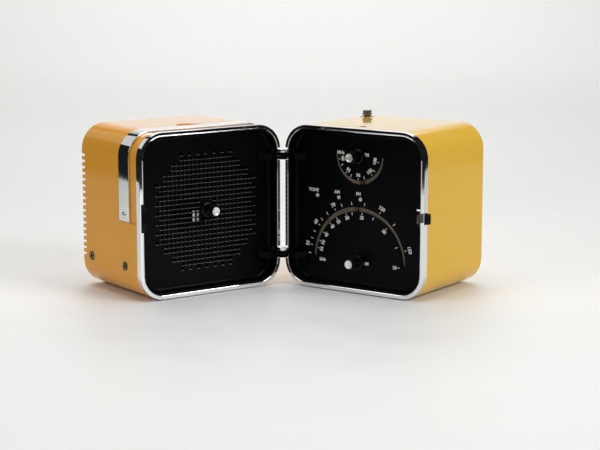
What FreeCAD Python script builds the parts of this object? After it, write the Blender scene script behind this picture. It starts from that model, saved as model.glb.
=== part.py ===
"""Hinged two-cube transistor radio: a loudspeaker half and a tuner half on one vertical hinge.

Frame: +Z up, front towards -Y, origin on the standing surface at the middle of the footprint.
Each half is drawn in its own frame and then placed about the hinge line:
  x  across the front face, 0 on the middle of the face
  y  depth, 0 on the front plane of the chrome trim and growing towards the back
  z  height, 0 on the underside of the shell
"""
import FreeCAD, Part
import math
import os
from types import SimpleNamespace

import Sketcher
from FreeCAD import Placement, Rotation, Vector

doc = FreeCAD.newDocument("hinged_radio")

DIMENSIONS = {
    # the two halves and how they stand
    "cube_size": 130.0,
    "cube_depth": 92.0,
    "corner_radius": 20.7,
    "foot_height": 0.8,
    "half_fold": 35.35,
    "hinge_gap": 1.9,
    "hinge_setback": 0.6,
    "hinge_line_back": 1.6,
    # shells and trims
    "shell_wall": 2.4,
    "rib_floor": 2.1,
    "groove_depth": 5.3,
    "groove_height": 2.0,
    "groove_pitch": 5.0,
    "back_edge_round": 1.2,
    "trim_depth": 5.3,
    "trim_face": 3.2,
    "trim_bevel": 0.9,
    "trim_edge": 0.4,
    # dished panels
    "panel_inset": 0.2,
    "panel_front": 0.8,
    "panel_floor": 8.5,
    "panel_sheet": 2.0,
    "panel_rim": 1.4,
    "panel_bowl": 6.4,
    # loudspeaker side
    "grille_radius": 53.0,
    "grille_height": 65.6,
    "hole_pitch": 3.76,
    "hole_side": 2.6,
    "basket_radius": 46.0,
    "basket_front": 15.0,
    "basket_rim": 2.0,
    "basket_depth": 17.0,
    "magnet_radius": 24.0,
    "magnet_depth": 20.0,
    # controls shared by the three knobs
    "knob_proud": 6.0,
    "knob_radius": 4.7,
    "knob_tip_radius": 4.2,
    "knob_collar_radius": 6.0,
    "knob_collar": 2.6,
    "cap_radius": 3.4,
    "cap_sheet": 0.5,
    "shaft_radius": 2.0,
    # carrying handle
    "handle_front": 17.0,
    "handle_width": 15.5,
    "handle_sheet": 1.2,
    "handle_room": 0.3,
    "handle_foot": 60.0,
    "handle_screw_height": 65.0,
    "handle_travel": 30.0,
    "finger_radius": 10.5,
    "finger_depth": 7.0,
    # sockets
    "jack_height": 25.0,
    "jack_front": 24.0,
    "jack_rear": 77.5,
    "jack_ring_radius": 3.4,
    "jack_bore_radius": 1.8,
    "jack_thread_radius": 2.8,
    # batteries
    "cell_radius": 13.1,
    "cell_length": 50.0,
    "cell_pitch": 26.6,
    "tray_wall": 1.4,
    "door_width": 104.0,
    "door_gap": 0.3,
    # dials
    "fm_centre": 107.6,
    "fm_outer": 22.7,
    "fm_inner": 19.6,
    "am_centre": 23.3,
    "am_outer": 43.6,
    "am_inner": 40.1,
    "pointer_sheet": 0.8,
    "pointer_room": 0.35,
    # push buttons
    "button_height": 73.7,
    "button_first": 27.2,
    "button_pitch": 20.4,
    "button_radius": 2.2,
    "button_proud": 2.2,
    # hinge
    "upper_knuckle": 101.3,
    "lower_knuckle": 21.4,
    "knuckle_height": 2.6,
    "knuckle_radius": 4.2,
    "knuckle_room": 0.2,
    "pin_radius": 1.5,
    "pin_head_height": 2.4,
    "arm_back": 3.5,
    "notch_depth": 4.0,
    "notch_height": 9.8,
    # latch
    "latch_height": 65.0,
    "hook_inset": 1.8,
    "hook_depth": 4.4,
    "keeper_height": 22.0,
    "keeper_inset": 1.0,
    # telescopic aerial
    "aerial_across": 25.2,
    "aerial_depth": 81.8,
    "aerial_wall": 0.35,
    "aerial_step": 1.3,
    "aerial_radius": 3.5,
    "tip_radius": 4.2,
    "tip_height": 5.2,
}


class Size:
    """A length that carries both its number and the spreadsheet formula behind it."""

    def __init__(self, number, formula):
        self.number = float(number)
        self.formula = formula

    @staticmethod
    def of(value):
        return value if isinstance(value, Size) else Size(value, f"({float(value)!r})")

    def joined(self, sign, other, number):
        return Size(number, f"({self.formula} {sign} {Size.of(other).formula})")

    def __add__(self, other):
        return self.joined("+", other, self.number + Size.of(other).number)

    def __radd__(self, other):
        return Size.of(other) + self

    def __sub__(self, other):
        return self.joined("-", other, self.number - Size.of(other).number)

    def __rsub__(self, other):
        return Size.of(other) - self

    def __mul__(self, other):
        return self.joined("*", other, self.number * Size.of(other).number)

    def __rmul__(self, other):
        return Size.of(other) * self

    def __truediv__(self, other):
        return self.joined("/", other, self.number / Size.of(other).number)

    def __neg__(self):
        return Size.of(0) - self


def make_sheet():
    """The spreadsheet of driving dimensions, and the sizes that refer to its cells."""
    sheet = doc.addObject("Spreadsheet::Sheet", "Dimensions")
    sizes = {}
    for row, (alias, number) in enumerate(DIMENSIONS.items(), start=1):
        sheet.set(f"A{row}", alias)
        sheet.set(f"B{row}", str(number))
        sheet.setAlias(f"B{row}", alias)
        sizes[alias] = Size(number, f"Dimensions.{alias}")
    doc.recompute()
    return SimpleNamespace(**sizes)


dim = make_sheet()
half = dim.cube_size / 2

LEFT = -1
RIGHT = 1
ALONG_X = Rotation(Vector(0, 1, 0), 90)
ALONG_Y = Rotation(Vector(1, 0, 0), -90)
AGAINST_Y = Rotation(Vector(1, 0, 0), 90)
ALONG_Z = Rotation()

parts = {}
arm_levels = {"upper": dim.upper_knuckle, "lower": dim.lower_knuckle}


# ---------------------------------------------------------------- placing and binding

def bind(thing, name, value):
    """Drive one property from the spreadsheet."""
    thing.setExpression(name, Size.of(value).formula)


def bind_position(thing, corner):
    for axis, value in zip("xyz", corner):
        bind(thing, f"Placement.Base.{axis}", value)


def half_pose(side):
    """Where a half stands: turned about the hinge line, then set on its feet."""
    swing = Rotation(Vector(0, 0, 1), -side * dim.half_fold.number)
    offset = Vector(side * (dim.hinge_gap + half).number, dim.hinge_setback.number, 0)
    stand = Vector(0, dim.hinge_line_back.number, dim.foot_height.number)
    return Placement(stand, Rotation()) * Placement(Vector(), swing) * Placement(offset, Rotation())


POSE = {side: half_pose(side) for side in (LEFT, RIGHT)}


def across(side, from_hinge):
    """x of a point that lies so far from the hinge edge of a half."""
    return side * (from_hinge - half)


def finish(label, thing, side, at=(0, 0, 0)):
    """Name a finished piece and stand it in its half; `at` shifts a piece drawn at the origin."""
    if thing.ExpressionEngine:
        thing = group(f"{label}_piece", [thing])
    thing.Label = label
    shift = Vector(*(Size.of(value).number for value in at))
    thing.Placement = POSE[side] * Placement(shift, Rotation())
    parts[label] = thing
    return thing


# ---------------------------------------------------------------- simple solids

def box(name, size, corner):
    block = doc.addObject("Part::Box", name)
    for side, value in zip(("Length", "Width", "Height"), size):
        bind(block, side, value)
    bind_position(block, corner)
    return block


def rod(name, radius, length, start, turn=ALONG_Y, sector=360):
    bar = doc.addObject("Part::Cylinder", name)
    bar.Placement = Placement(Vector(), turn)
    bind(bar, "Radius", radius)
    bind(bar, "Height", length)
    bar.Angle = sector
    bind_position(bar, start)
    return bar


def cone(name, first_radius, last_radius, length, start, turn=ALONG_Y):
    taper = doc.addObject("Part::Cone", name)
    taper.Placement = Placement(Vector(), turn)
    bind(taper, "Radius1", first_radius)
    bind(taper, "Radius2", last_radius)
    bind(taper, "Height", length)
    bind_position(taper, start)
    return taper


def group(name, pieces):
    """Separate solids kept in one node."""
    bundle = doc.addObject("Part::Compound", name)
    bundle.Links = pieces
    return bundle


def fuse(name, pieces):
    joined = doc.addObject("Part::MultiFuse", name)
    joined.Shapes = pieces
    joined.Refine = True
    return joined


def cut(name, base, tools):
    """Base with every tool taken away."""
    result = doc.addObject("Part::Cut", name)
    result.Base = base
    result.Tool = tools[0] if len(tools) == 1 else group(f"{name}_tools", tools)
    return result


# ---------------------------------------------------------------- sketched solids

def new_sketch(body, role, offset=None):
    """A sketch on one of the body's own origin planes, moved along its normal."""
    sketch = body.newObject("Sketcher::SketchObject", f"{body.Name}_sketch")
    plane = next(item for item in body.Origin.OriginFeatures if item.Role == role)
    sketch.AttachmentSupport = [(plane, "")]
    sketch.MapMode = "FlatFace"
    if offset is not None:
        bind(sketch, "AttachmentOffset.Base.z", offset)
    return sketch


def hold(sketch, kind, where, value):
    """A dimension constraint driven from the spreadsheet."""
    index = sketch.addConstraint(Sketcher.Constraint(kind, *where, Size.of(value).number))
    sketch.setExpression(f"Constraints[{index}]", Size.of(value).formula)


def rounded_outline(sketch, width, height, radius, middle):
    """A rounded rectangle, centred on x = 0 with its middle at the given height."""
    w, h, r, m = (Size.of(value).number for value in (width, height, radius, middle))
    left, right, low, high = -w / 2, w / 2, m - h / 2, m + h / 2
    sides = [((left + r, low), (right - r, low)), ((right, low + r), (right, high - r)),
             ((right - r, high), (left + r, high)), ((left, high - r), (left, low + r))]
    lines = [sketch.addGeometry(Part.LineSegment(Vector(*a, 0), Vector(*b, 0))) for a, b in sides]
    centres = [(right - r, low + r), (right - r, high - r), (left + r, high - r), (left + r, low + r)]
    arcs = []
    for quarter, centre in enumerate(centres):
        circle = Part.Circle(Vector(*centre, 0), Vector(0, 0, 1), r)
        start = (quarter - 1) * math.pi / 2
        arcs.append(sketch.addGeometry(Part.ArcOfCircle(circle, start, start + math.pi / 2)))
    for quarter in range(4):
        after = lines[(quarter + 1) % 4]
        sketch.addConstraint(Sketcher.Constraint("Tangent", lines[quarter], 2, arcs[quarter], 1))
        sketch.addConstraint(Sketcher.Constraint("Tangent", arcs[quarter], 2, after, 1))
    for line in lines[0::2]:
        sketch.addConstraint(Sketcher.Constraint("Horizontal", line))
    for line in lines[1::2]:
        sketch.addConstraint(Sketcher.Constraint("Vertical", line))
    for arc in arcs[1:]:
        sketch.addConstraint(Sketcher.Constraint("Equal", arcs[0], arc))
    hold(sketch, "Radius", (arcs[0],), radius)
    hold(sketch, "DistanceX", (-1, 1, lines[1], 1), Size.of(width) / 2)
    hold(sketch, "DistanceX", (lines[3], 1, -1, 1), Size.of(width) / 2)
    hold(sketch, "DistanceY", (lines[0], 1, lines[2], 1), height)
    hold(sketch, "DistanceY", (-1, 1, lines[2], 1), Size.of(middle) + Size.of(height) / 2)


def polygon_outline(sketch, corners):
    """A closed outline of straight lines through corners held by their coordinates."""
    spots = [(Size.of(x), Size.of(y)) for x, y in corners]
    points = [Vector(x.number, y.number, 0) for x, y in spots]
    count = len(points)
    lines = [sketch.addGeometry(Part.LineSegment(points[n], points[(n + 1) % count]))
             for n in range(count)]
    for n in range(count):
        sketch.addConstraint(Sketcher.Constraint("Coincident", lines[n], 2, lines[(n + 1) % count], 1))
    for line, (x, y) in zip(lines, spots):
        for kind, value, axis in (("DistanceX", x, -2), ("DistanceY", y, -1)):
            if abs(value.number) < 1e-9:
                sketch.addConstraint(Sketcher.Constraint("PointOnObject", line, 1, axis))
            else:
                hold(sketch, kind, (-1, 1, line, 1), value)


def edges_where(feature, test):
    """Names of the edges whose bounding box passes the test."""
    doc.recompute()
    return [f"Edge{number}" for number, edge in enumerate(feature.Shape.Edges, start=1)
            if test(edge.BoundBox)]


def dress(body, kind, name, base, edges, value):
    """A fillet (Radius) or chamfer (Size) on named edges."""
    feature = body.newObject(f"PartDesign::{kind}", name)
    feature.Base = (base, edges)
    bind(feature, "Radius" if kind == "Fillet" else "Size", value)
    return feature


def upright_block(name, width, height, radius, front, depth, middle=half):
    """A body padded backwards from a rounded outline that faces the front."""
    body = doc.addObject("PartDesign::Body", name)
    sketch = new_sketch(body, "XZ_Plane", -Size.of(front))
    rounded_outline(sketch, width, height, radius, middle)
    pad = body.newObject("PartDesign::Pad", f"{name}_pad")
    pad.Profile = sketch
    pad.Reversed = True
    bind(pad, "Length", depth)
    return body


def hollow(body, name, width, height, radius, front, depth, middle=half):
    """Sink a rounded outline into a body, from the given depth backwards."""
    sketch = new_sketch(body, "XZ_Plane", -Size.of(front))
    rounded_outline(sketch, width, height, radius, middle)
    pocket = body.newObject("PartDesign::Pocket", name)
    pocket.Profile = sketch
    bind(pocket, "Length", depth)
    return pocket


def turned(name, profile):
    """A body of revolution about the y axis, from (radius, depth) corners."""
    body = doc.addObject("PartDesign::Body", name)
    sketch = new_sketch(body, "XY_Plane")
    polygon_outline(sketch, profile)
    spin = body.newObject("PartDesign::Revolution", f"{name}_turn")
    spin.Profile = sketch
    spin.ReferenceAxis = (sketch, ["V_Axis"])
    spin.Angle = 360
    return body


def plan_slab(name, corners, low, height):
    """A body padded upwards from an outline seen from above."""
    body = doc.addObject("PartDesign::Body", name)
    sketch = new_sketch(body, "XY_Plane", low)
    polygon_outline(sketch, corners)
    pad = body.newObject("PartDesign::Pad", f"{name}_pad")
    pad.Profile = sketch
    bind(pad, "Length", height)
    return body


def arc_slot(name, outer, inner, height, front, depth, opens_up):
    """Half a ring: the tool for a curved dial window, or a strip that lies behind one."""
    turn, start = (AGAINST_Y, front + depth) if opens_up else (ALONG_Y, front)
    rim = rod(f"{name}_outer", outer, depth, (0, start, height), turn, 180)
    core = rod(f"{name}_inner", inner, depth, (0, start, height), turn, 180)
    return cut(name, rim, [core])


# ---------------------------------------------------------------- shells

back_plane = dim.cube_depth
inner_size = dim.cube_size - 2 * dim.shell_wall
rib_wall = dim.groove_depth + dim.rib_floor
groove_count = 17


def bare_shell(name, back_wall):
    """An open-fronted rounded tub standing behind its trim."""
    body = upright_block(name, dim.cube_size, dim.cube_size, dim.corner_radius,
                         dim.trim_depth, dim.cube_depth - dim.trim_depth)
    pocket = hollow(body, f"{name}_hollow", inner_size, inner_size,
                    dim.corner_radius - dim.shell_wall, dim.trim_depth,
                    dim.cube_depth - dim.trim_depth - back_wall)
    rim = edges_where(pocket, lambda edge: edge.YMin > back_plane.number - 0.01)
    dress(body, "Fillet", f"{name}_back_round", pocket, rim, dim.back_edge_round)
    return body


def grooves(name, width):
    """The stack of level grooves across the back of the loudspeaker half."""
    cutters = []
    for number in range(groove_count):
        level = half + (number - groove_count // 2) * dim.groove_pitch - dim.groove_height / 2
        cutters.append(box(f"{name}_{number}", (width, dim.groove_depth + 1, dim.groove_height),
                           (-width / 2, back_plane - dim.groove_depth, level)))
    return cutters


def handle_rebate():
    """The shallow channel that the handle strip lies in, open to the front."""
    sink = dim.handle_sheet + dim.handle_room
    low = dim.handle_foot - dim.handle_room
    length = dim.handle_front + dim.handle_width + dim.handle_room - dim.trim_depth
    around = box("rebate_block", (dim.cube_size + 10, length, dim.cube_size),
                 (-half - 5, dim.trim_depth, low))
    core = upright_block("rebate_core", dim.cube_size - 2 * sink, dim.cube_size - 2 * sink,
                         dim.corner_radius - sink, dim.trim_depth - 1, length + 2)
    return cut("handle_rebate", around, [core])


def screw_holes(name, spots):
    holes = []
    for number, (x, z) in enumerate(spots):
        holes.append(rod(f"{name}_{number}", dim.shaft_radius, rib_wall + 2, (x, back_plane - rib_wall - 1, z)))
        holes.append(rod(f"{name}_sink_{number}", 3.6, 3, (x, back_plane - 1.6, z)))
    return holes


speaker_screw_spots = [(x, z) for x in (-42, 42) for z in (12.5, 117.5)]
tuner_screw_spots = [(x, z) for x in (-50, 50) for z in (14, 116)]

door_height = (groove_count - 1) * dim.groove_pitch + dim.groove_height - 2 * dim.door_gap
door_low = half - door_height / 2
handle_middle = dim.handle_front + dim.handle_width / 2
slot_low = dim.handle_screw_height - 3.4
slot_height = dim.handle_travel + 6.8


def speaker_shell():
    tools = grooves("back_groove", dim.cube_size + 4)
    tools.append(handle_rebate())
    tools.append(rod("finger_cut", dim.finger_radius, dim.finger_depth + 1,
                     (0, dim.handle_front + dim.handle_width, dim.cube_size - dim.finger_depth), ALONG_Z))
    for place, depth in (("front", dim.jack_front), ("rear", dim.jack_rear)):
        tools.append(rod(f"jack_hole_{place}", dim.jack_thread_radius, 6,
                         (-half - 2, depth, dim.jack_height), ALONG_X))
    for sign, word in ((-1, "outer"), (1, "inner")):
        tools.append(box(f"guide_slot_{word}", (8, 4.6, slot_height),
                         (sign * half - 4, handle_middle - 2.3, slot_low)))
    tools.append(box("door_opening", (dim.door_width, rib_wall + 2, door_height + 2 * dim.door_gap),
                     (-dim.door_width / 2, back_plane - rib_wall - 1, door_low - dim.door_gap)))
    tools += screw_holes("speaker_screw_hole", speaker_screw_spots)
    well = rod("finger_well", dim.finger_radius + 1.6, dim.finger_depth,
               (0, dim.handle_front + dim.handle_width, dim.cube_size - dim.finger_depth - 1.6), ALONG_Z)
    shell = fuse("speaker_shell_blank", [bare_shell("speaker_tub", rib_wall), well])
    finish("speaker_shell", cut("speaker_shell", shell, tools), LEFT)


aerial_x = across(RIGHT, dim.aerial_across)


def tuner_shell():
    tools = [rod("aerial_hole", dim.aerial_radius + 0.3, 8,
                 (aerial_x, dim.aerial_depth, dim.cube_size - 5), ALONG_Z),
             rod("plug_hole", 3.0, 8, (across(RIGHT, 63.9), 15.9, dim.cube_size - 5), ALONG_Z)]
    tools += screw_holes("tuner_screw_hole", tuner_screw_spots)
    finish("tuner_shell", cut("tuner_shell", bare_shell("tuner_tub", dim.shell_wall), tools), RIGHT)


# ---------------------------------------------------------------- trims and panels

def hinge_gaps(name, side, first, last):
    """Room for knuckles and arms, between two distances from the hinge edge of a half."""
    near, far = (across(side, distance) for distance in (first, last))
    corner = near if side == RIGHT else far
    width = far - near if side == RIGHT else near - far
    return [box(f"{name}_{word}", (width, dim.notch_depth + 1, dim.notch_height), (corner, -1, level - 0.5))
            for word, level in arm_levels.items()]


def trim(label, side, notches):
    """The chrome frame around the open front: bevelled inside, edge rounded outside."""
    body = upright_block(f"{label}_body", dim.cube_size, dim.cube_size, dim.corner_radius,
                         0, dim.trim_depth)
    opening = dim.cube_size - 2 * dim.trim_face
    inner = hollow(body, f"{label}_opening", opening, opening, dim.corner_radius - dim.trim_face,
                   0, dim.trim_depth)
    middle = half.number

    def spread(edge):
        """How far a front edge reaches from the middle of the face; 0 for any other edge."""
        if edge.YMax > 0.01:
            return 0
        return max(-edge.XMin, edge.XMax, edge.ZMax - middle, middle - edge.ZMin)

    edges = edges_where(inner, lambda edge: 0 < spread(edge) < middle - 1)
    bevel = dress(body, "Chamfer", f"{label}_bevel", inner, edges, dim.trim_bevel)
    edges = edges_where(bevel, lambda edge: spread(edge) > middle - 0.01)
    dress(body, "Fillet", f"{label}_edge", bevel, edges, dim.trim_edge)
    finish(label, cut(label, body, hinge_gaps(f"{label}_notch", side, -1, 6.5) + notches), side)


panel_size = dim.cube_size - 2 * dim.trim_face - 2 * dim.panel_inset
panel_radius = dim.corner_radius - dim.trim_face - dim.panel_inset
panel_back = dim.panel_floor + dim.panel_sheet


def dished_panel(name):
    """A black dish that fills the trim: flat floor, wide coved edge, thin rim."""
    body = upright_block(name, panel_size, panel_size, panel_radius, dim.panel_front,
                         panel_back - dim.panel_front)
    bowl = hollow(body, f"{name}_bowl", panel_size - 2 * dim.panel_rim, panel_size - 2 * dim.panel_rim,
                  panel_radius - dim.panel_rim, dim.panel_front, dim.panel_floor - dim.panel_front)
    floor_edges = edges_where(bowl, lambda edge: abs(edge.YMin - dim.panel_floor.number) < 0.01
                              and abs(edge.YMax - dim.panel_floor.number) < 0.01)
    cove = dress(body, "Fillet", f"{name}_cove", bowl, floor_edges, dim.panel_bowl)
    back_edges = edges_where(cove, lambda edge: edge.YMin > panel_back.number - 0.01)
    dress(body, "Fillet", f"{name}_back", cove, back_edges, dim.panel_bowl + 1)
    return body


def posts(name, spots, back_wall):
    """Hollow posts behind a panel that take the long case screws."""
    made = []
    for number, (x, z) in enumerate(spots):
        outer = rod(f"{name}_{number}", 3.4, back_plane - back_wall - panel_back + 0.6,
                    (x, panel_back - 0.6, z))
        bore = rod(f"{name}_bore_{number}", 1.5, back_plane, (x, panel_back + 30, z))
        made.append(cut(f"{name}_drilled_{number}", outer, [bore]))
    return made


def speaker_panel():
    blank = fuse("speaker_panel_blank", [dished_panel("speaker_dish")]
                 + posts("speaker_post", speaker_screw_spots, rib_wall))
    tools = [rod("grille_seat", dim.grille_radius, 10, (0, dim.panel_floor - 4, dim.grille_height))]
    tools += hinge_gaps("speaker_arm_window", LEFT, 2.2, 7.2)
    tools.append(keeper_seat("panel_keeper_seat", 6))
    finish("speaker_panel", cut("speaker_panel", blank, tools), LEFT)


def grille_has_hole(column, row):
    """The stepped round field of the grille, less the solid patch around the knob."""
    near, far = sorted((abs(column), abs(row)))
    if abs(column) <= 1 and -1 <= row <= 2:
        return False
    if far == 12:
        return near <= 6 and near % 2 == 0
    limit = {11: 6, 10: 8, 9: 8, 8: 10, 7: 10}.get(far, far)
    return near <= limit


def speaker_grille():
    """A round plate pierced with a square grid of square holes."""
    pitch, side, sheet = (size.number for size in (dim.hole_pitch, dim.hole_side, dim.panel_sheet))
    bars = []
    for column in range(-12, 13):
        for row in range(-12, 13):
            if grille_has_hole(column, row):
                corner = Vector(column * pitch - side / 2, -1, row * pitch - side / 2)
                bars.append(Part.makeBox(side, sheet + 2, side, corner))
    holes = doc.addObject("Part::Feature", "grille_holes")
    holes.Shape = Part.makeCompound(bars)
    plate = rod("grille_plate", dim.grille_radius, dim.panel_sheet, (0, 0, 0))
    spindle = rod("grille_spindle_hole", dim.shaft_radius + 0.3, dim.panel_sheet + 2, (0, -1, 0))
    finish("speaker_grille", cut("speaker_grille", plate, [holes, spindle]), LEFT,
           (0, dim.panel_floor, dim.grille_height))


def dial_panel():
    blank = fuse("dial_panel_blank", [dished_panel("dial_dish")]
                 + posts("dial_post", tuner_screw_spots, dim.shell_wall))
    reach = dim.panel_sheet + 2
    tools = [arc_slot("fm_window", dim.fm_outer, dim.fm_inner, dim.fm_centre, dim.panel_floor - 1, reach, False),
             arc_slot("am_window", dim.am_outer, dim.am_inner, dim.am_centre, dim.panel_floor - 1, reach, True)]
    for word, level in (("fm", dim.fm_centre), ("am", dim.am_centre)):
        tools.append(rod(f"{word}_shaft_hole", dim.shaft_radius + 0.3, reach, (0, dim.panel_floor - 1, level)))
    for number, x in enumerate(button_places):
        tools.append(rod(f"button_hole_{number}", dim.button_radius + 0.2, reach,
                         (x, dim.panel_floor - 1, dim.button_height)))
    tools += hinge_gaps("dial_arm_window", RIGHT, 2.2, 7.2)
    tools.append(box("latch_seat", (6.2, dim.trim_depth + 3.4, 17), (half - dim.trim_face - 5.2, -1, 56.8)))
    finish("dial_panel", cut("dial_panel", blank, tools), RIGHT)


button_places = [across(RIGHT, dim.button_first + number * dim.button_pitch) for number in range(3)]


# ---------------------------------------------------------------- loudspeaker and controls

def loudspeaker():
    front = dim.basket_front
    narrow = dim.magnet_radius - 3
    level = (0, front, dim.grille_height)
    rim = rod("basket_rim_disc", dim.basket_radius, dim.basket_rim, level)
    bowl = cone("basket_cone", dim.basket_radius - 3, narrow, dim.basket_depth, level)
    outer = fuse("basket_outer", [rim, bowl])
    room = cone("basket_room", dim.basket_radius - 4.2, narrow - 1.2, dim.basket_depth + 0.1,
                (0, front - 0.05, dim.grille_height))
    finish("speaker_basket", cut("speaker_basket", outer, [room]), LEFT)

    slope = [(dim.basket_radius - 5, front), (dim.basket_radius - 5.8, front), (9, front + dim.basket_depth - 3),
             (0, front + dim.basket_depth - 6), (0, front + dim.basket_depth - 5),
             (9, front + dim.basket_depth - 1.6)]
    finish("speaker_cone", turned("speaker_cone_body", slope), LEFT, (0, 0, dim.grille_height))
    back = front + dim.basket_depth
    plate = rod("magnet_plate", dim.magnet_radius, 3, (0, back, dim.grille_height))
    ring = rod("magnet_ring", dim.magnet_radius - 2, dim.magnet_depth - 3, (0, back + 3, dim.grille_height))
    finish("speaker_magnet", fuse("speaker_magnet", [plate, ring]), LEFT)


def knob(label, side, level, shaft_end):
    """A stepped turning knob with its shaft, and the pale disc set into its end."""
    tip = -dim.knob_proud
    room = dim.panel_floor - 0.3
    profile = [(0, tip + dim.cap_sheet), (dim.cap_radius, tip + dim.cap_sheet), (dim.cap_radius, tip),
               (dim.knob_tip_radius - 0.3, tip), (dim.knob_tip_radius, tip + 0.3),
               (dim.knob_tip_radius, tip + 2.4), (dim.knob_radius, tip + 2.9),
               (dim.knob_radius, room - dim.knob_collar), (dim.knob_collar_radius - 0.4, room - dim.knob_collar),
               (dim.knob_collar_radius, room - dim.knob_collar + 0.4), (dim.knob_collar_radius, room),
               (dim.shaft_radius, room), (dim.shaft_radius, shaft_end), (0, shaft_end)]
    finish(label, turned(f"{label}_body", profile), side, (0, 0, level))
    disc = rod(f"{label}_disc", dim.cap_radius, dim.cap_sheet, (0, tip, level))
    finish(f"{label}_cap", disc, side)


def volume_control():
    level = dim.grille_height
    bracket = box("volume_bracket_plate", (34, 1.2, 19), (-22, panel_back + 0.8, level - 9.5))
    foot = box("volume_bracket_foot", (3, 0.8, 19), (9, panel_back, level - 9.5))
    end = box("volume_bracket_end", (3, 0.8, 19), (-22, panel_back, level - 9.5))
    hole = rod("volume_bracket_hole", dim.shaft_radius + 0.3, 6, (0, panel_back - 1, level))
    finish("volume_bracket", cut("volume_bracket", fuse("volume_bracket_blank", [bracket, foot, end]), [hole]),
           LEFT)
    case = rod("volume_pot_case", 8.0, 7.5, (0, panel_back + 2, level))
    bore = rod("volume_pot_bore", dim.shaft_radius + 0.2, 6.5, (0, panel_back + 1, level))
    lugs = [box(f"volume_lug_{n}", (1.2, 0.6, 6), (-4.6 + 4 * n, panel_back + 7, level - 13)) for n in range(3)]
    finish("volume_control", cut("volume_control", fuse("volume_pot_blank", [case] + lugs), [bore]), LEFT)
    knob("volume_knob", LEFT, level, panel_back + 6.5)


def jack(label, depth):
    """A socket with a chrome ring outside, threaded barrel and insulated body inside."""
    level = dim.jack_height
    ring = rod(f"{label}_ring", dim.jack_ring_radius, 0.8, (-half - 0.8, depth, level), ALONG_X)
    barrel = rod(f"{label}_barrel", dim.jack_thread_radius, dim.shell_wall, (-half, depth, level), ALONG_X)
    body = box(f"{label}_body", (9, 8.4, 9), (-half + dim.shell_wall, depth - 4.2, level - 4.5))
    bore = rod(f"{label}_bore", dim.jack_bore_radius, 11, (-half - 2, depth, level), ALONG_X)
    finish(label, cut(label, fuse(f"{label}_blank", [ring, barrel, body]), [bore]), LEFT)


# ---------------------------------------------------------------- handle

def handle():
    """A flat strip bent over the top and down both sides, on two screws in vertical slots."""
    strip = upright_block("handle_outer", dim.cube_size, dim.cube_size, dim.corner_radius,
                          dim.handle_front, dim.handle_width)
    inner_side = dim.cube_size - 2 * dim.handle_sheet
    core = upright_block("handle_core", inner_side, inner_side, dim.corner_radius - dim.handle_sheet,
                         dim.handle_front - 1, dim.handle_width + 2)
    lower = box("handle_lower", (dim.cube_size + 10, dim.handle_width + 2, dim.handle_foot + 1),
                (-half - 5, dim.handle_front - 1, -1))
    tools = [core, lower]
    screws = []
    guides = []
    for sign, word in ((-1, "outer"), (1, "inner")):
        tools.append(rod(f"handle_hole_{word}", 1.6, 6, (sign * half - 3, handle_middle, dim.handle_screw_height),
                         ALONG_X))
        head_x = -half - 0.7 if sign < 0 else half
        shank_x = -half if sign < 0 else half - 7
        head = rod(f"handle_head_{word}", 2.7, 0.7, (head_x, handle_middle, dim.handle_screw_height), ALONG_X)
        shank = rod(f"handle_shank_{word}", 1.5, 7, (shank_x, handle_middle, dim.handle_screw_height), ALONG_X)
        slot = box(f"handle_slot_{word}", (0.5, 0.8, 6),
                   (-half - 0.8 if sign < 0 else half + 0.3, handle_middle - 0.4, dim.handle_screw_height - 3))
        screws.append(cut(f"handle_screw_{word}", fuse(f"handle_screw_blank_{word}", [head, shank]), [slot]))
        inner = half - dim.shell_wall - 0.3
        guide_x = -inner if sign < 0 else inner - 2.6
        nut = box(f"handle_nut_{word}", (2.6, 9, 9), (guide_x, handle_middle - 4.5, dim.handle_screw_height - 4.5))
        nut_hole = rod(f"handle_nut_hole_{word}", 1.5, 12, (sign * half - 6, handle_middle, dim.handle_screw_height),
                       ALONG_X)
        guides.append(cut(f"handle_guide_{word}", nut, [nut_hole]))
    finish("carrying_handle", cut("carrying_handle", strip, tools), LEFT)
    finish("handle_screws", group("handle_screws", screws), LEFT)
    finish("handle_guides", group("handle_guides", guides), LEFT)


# ---------------------------------------------------------------- batteries

tray_length = 2 * dim.cell_length + 3
tray_height = 3 * dim.cell_pitch
tray_back = back_plane - rib_wall - 0.2
tray_depth = 2 * dim.cell_radius + 0.4 + dim.tray_wall


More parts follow.
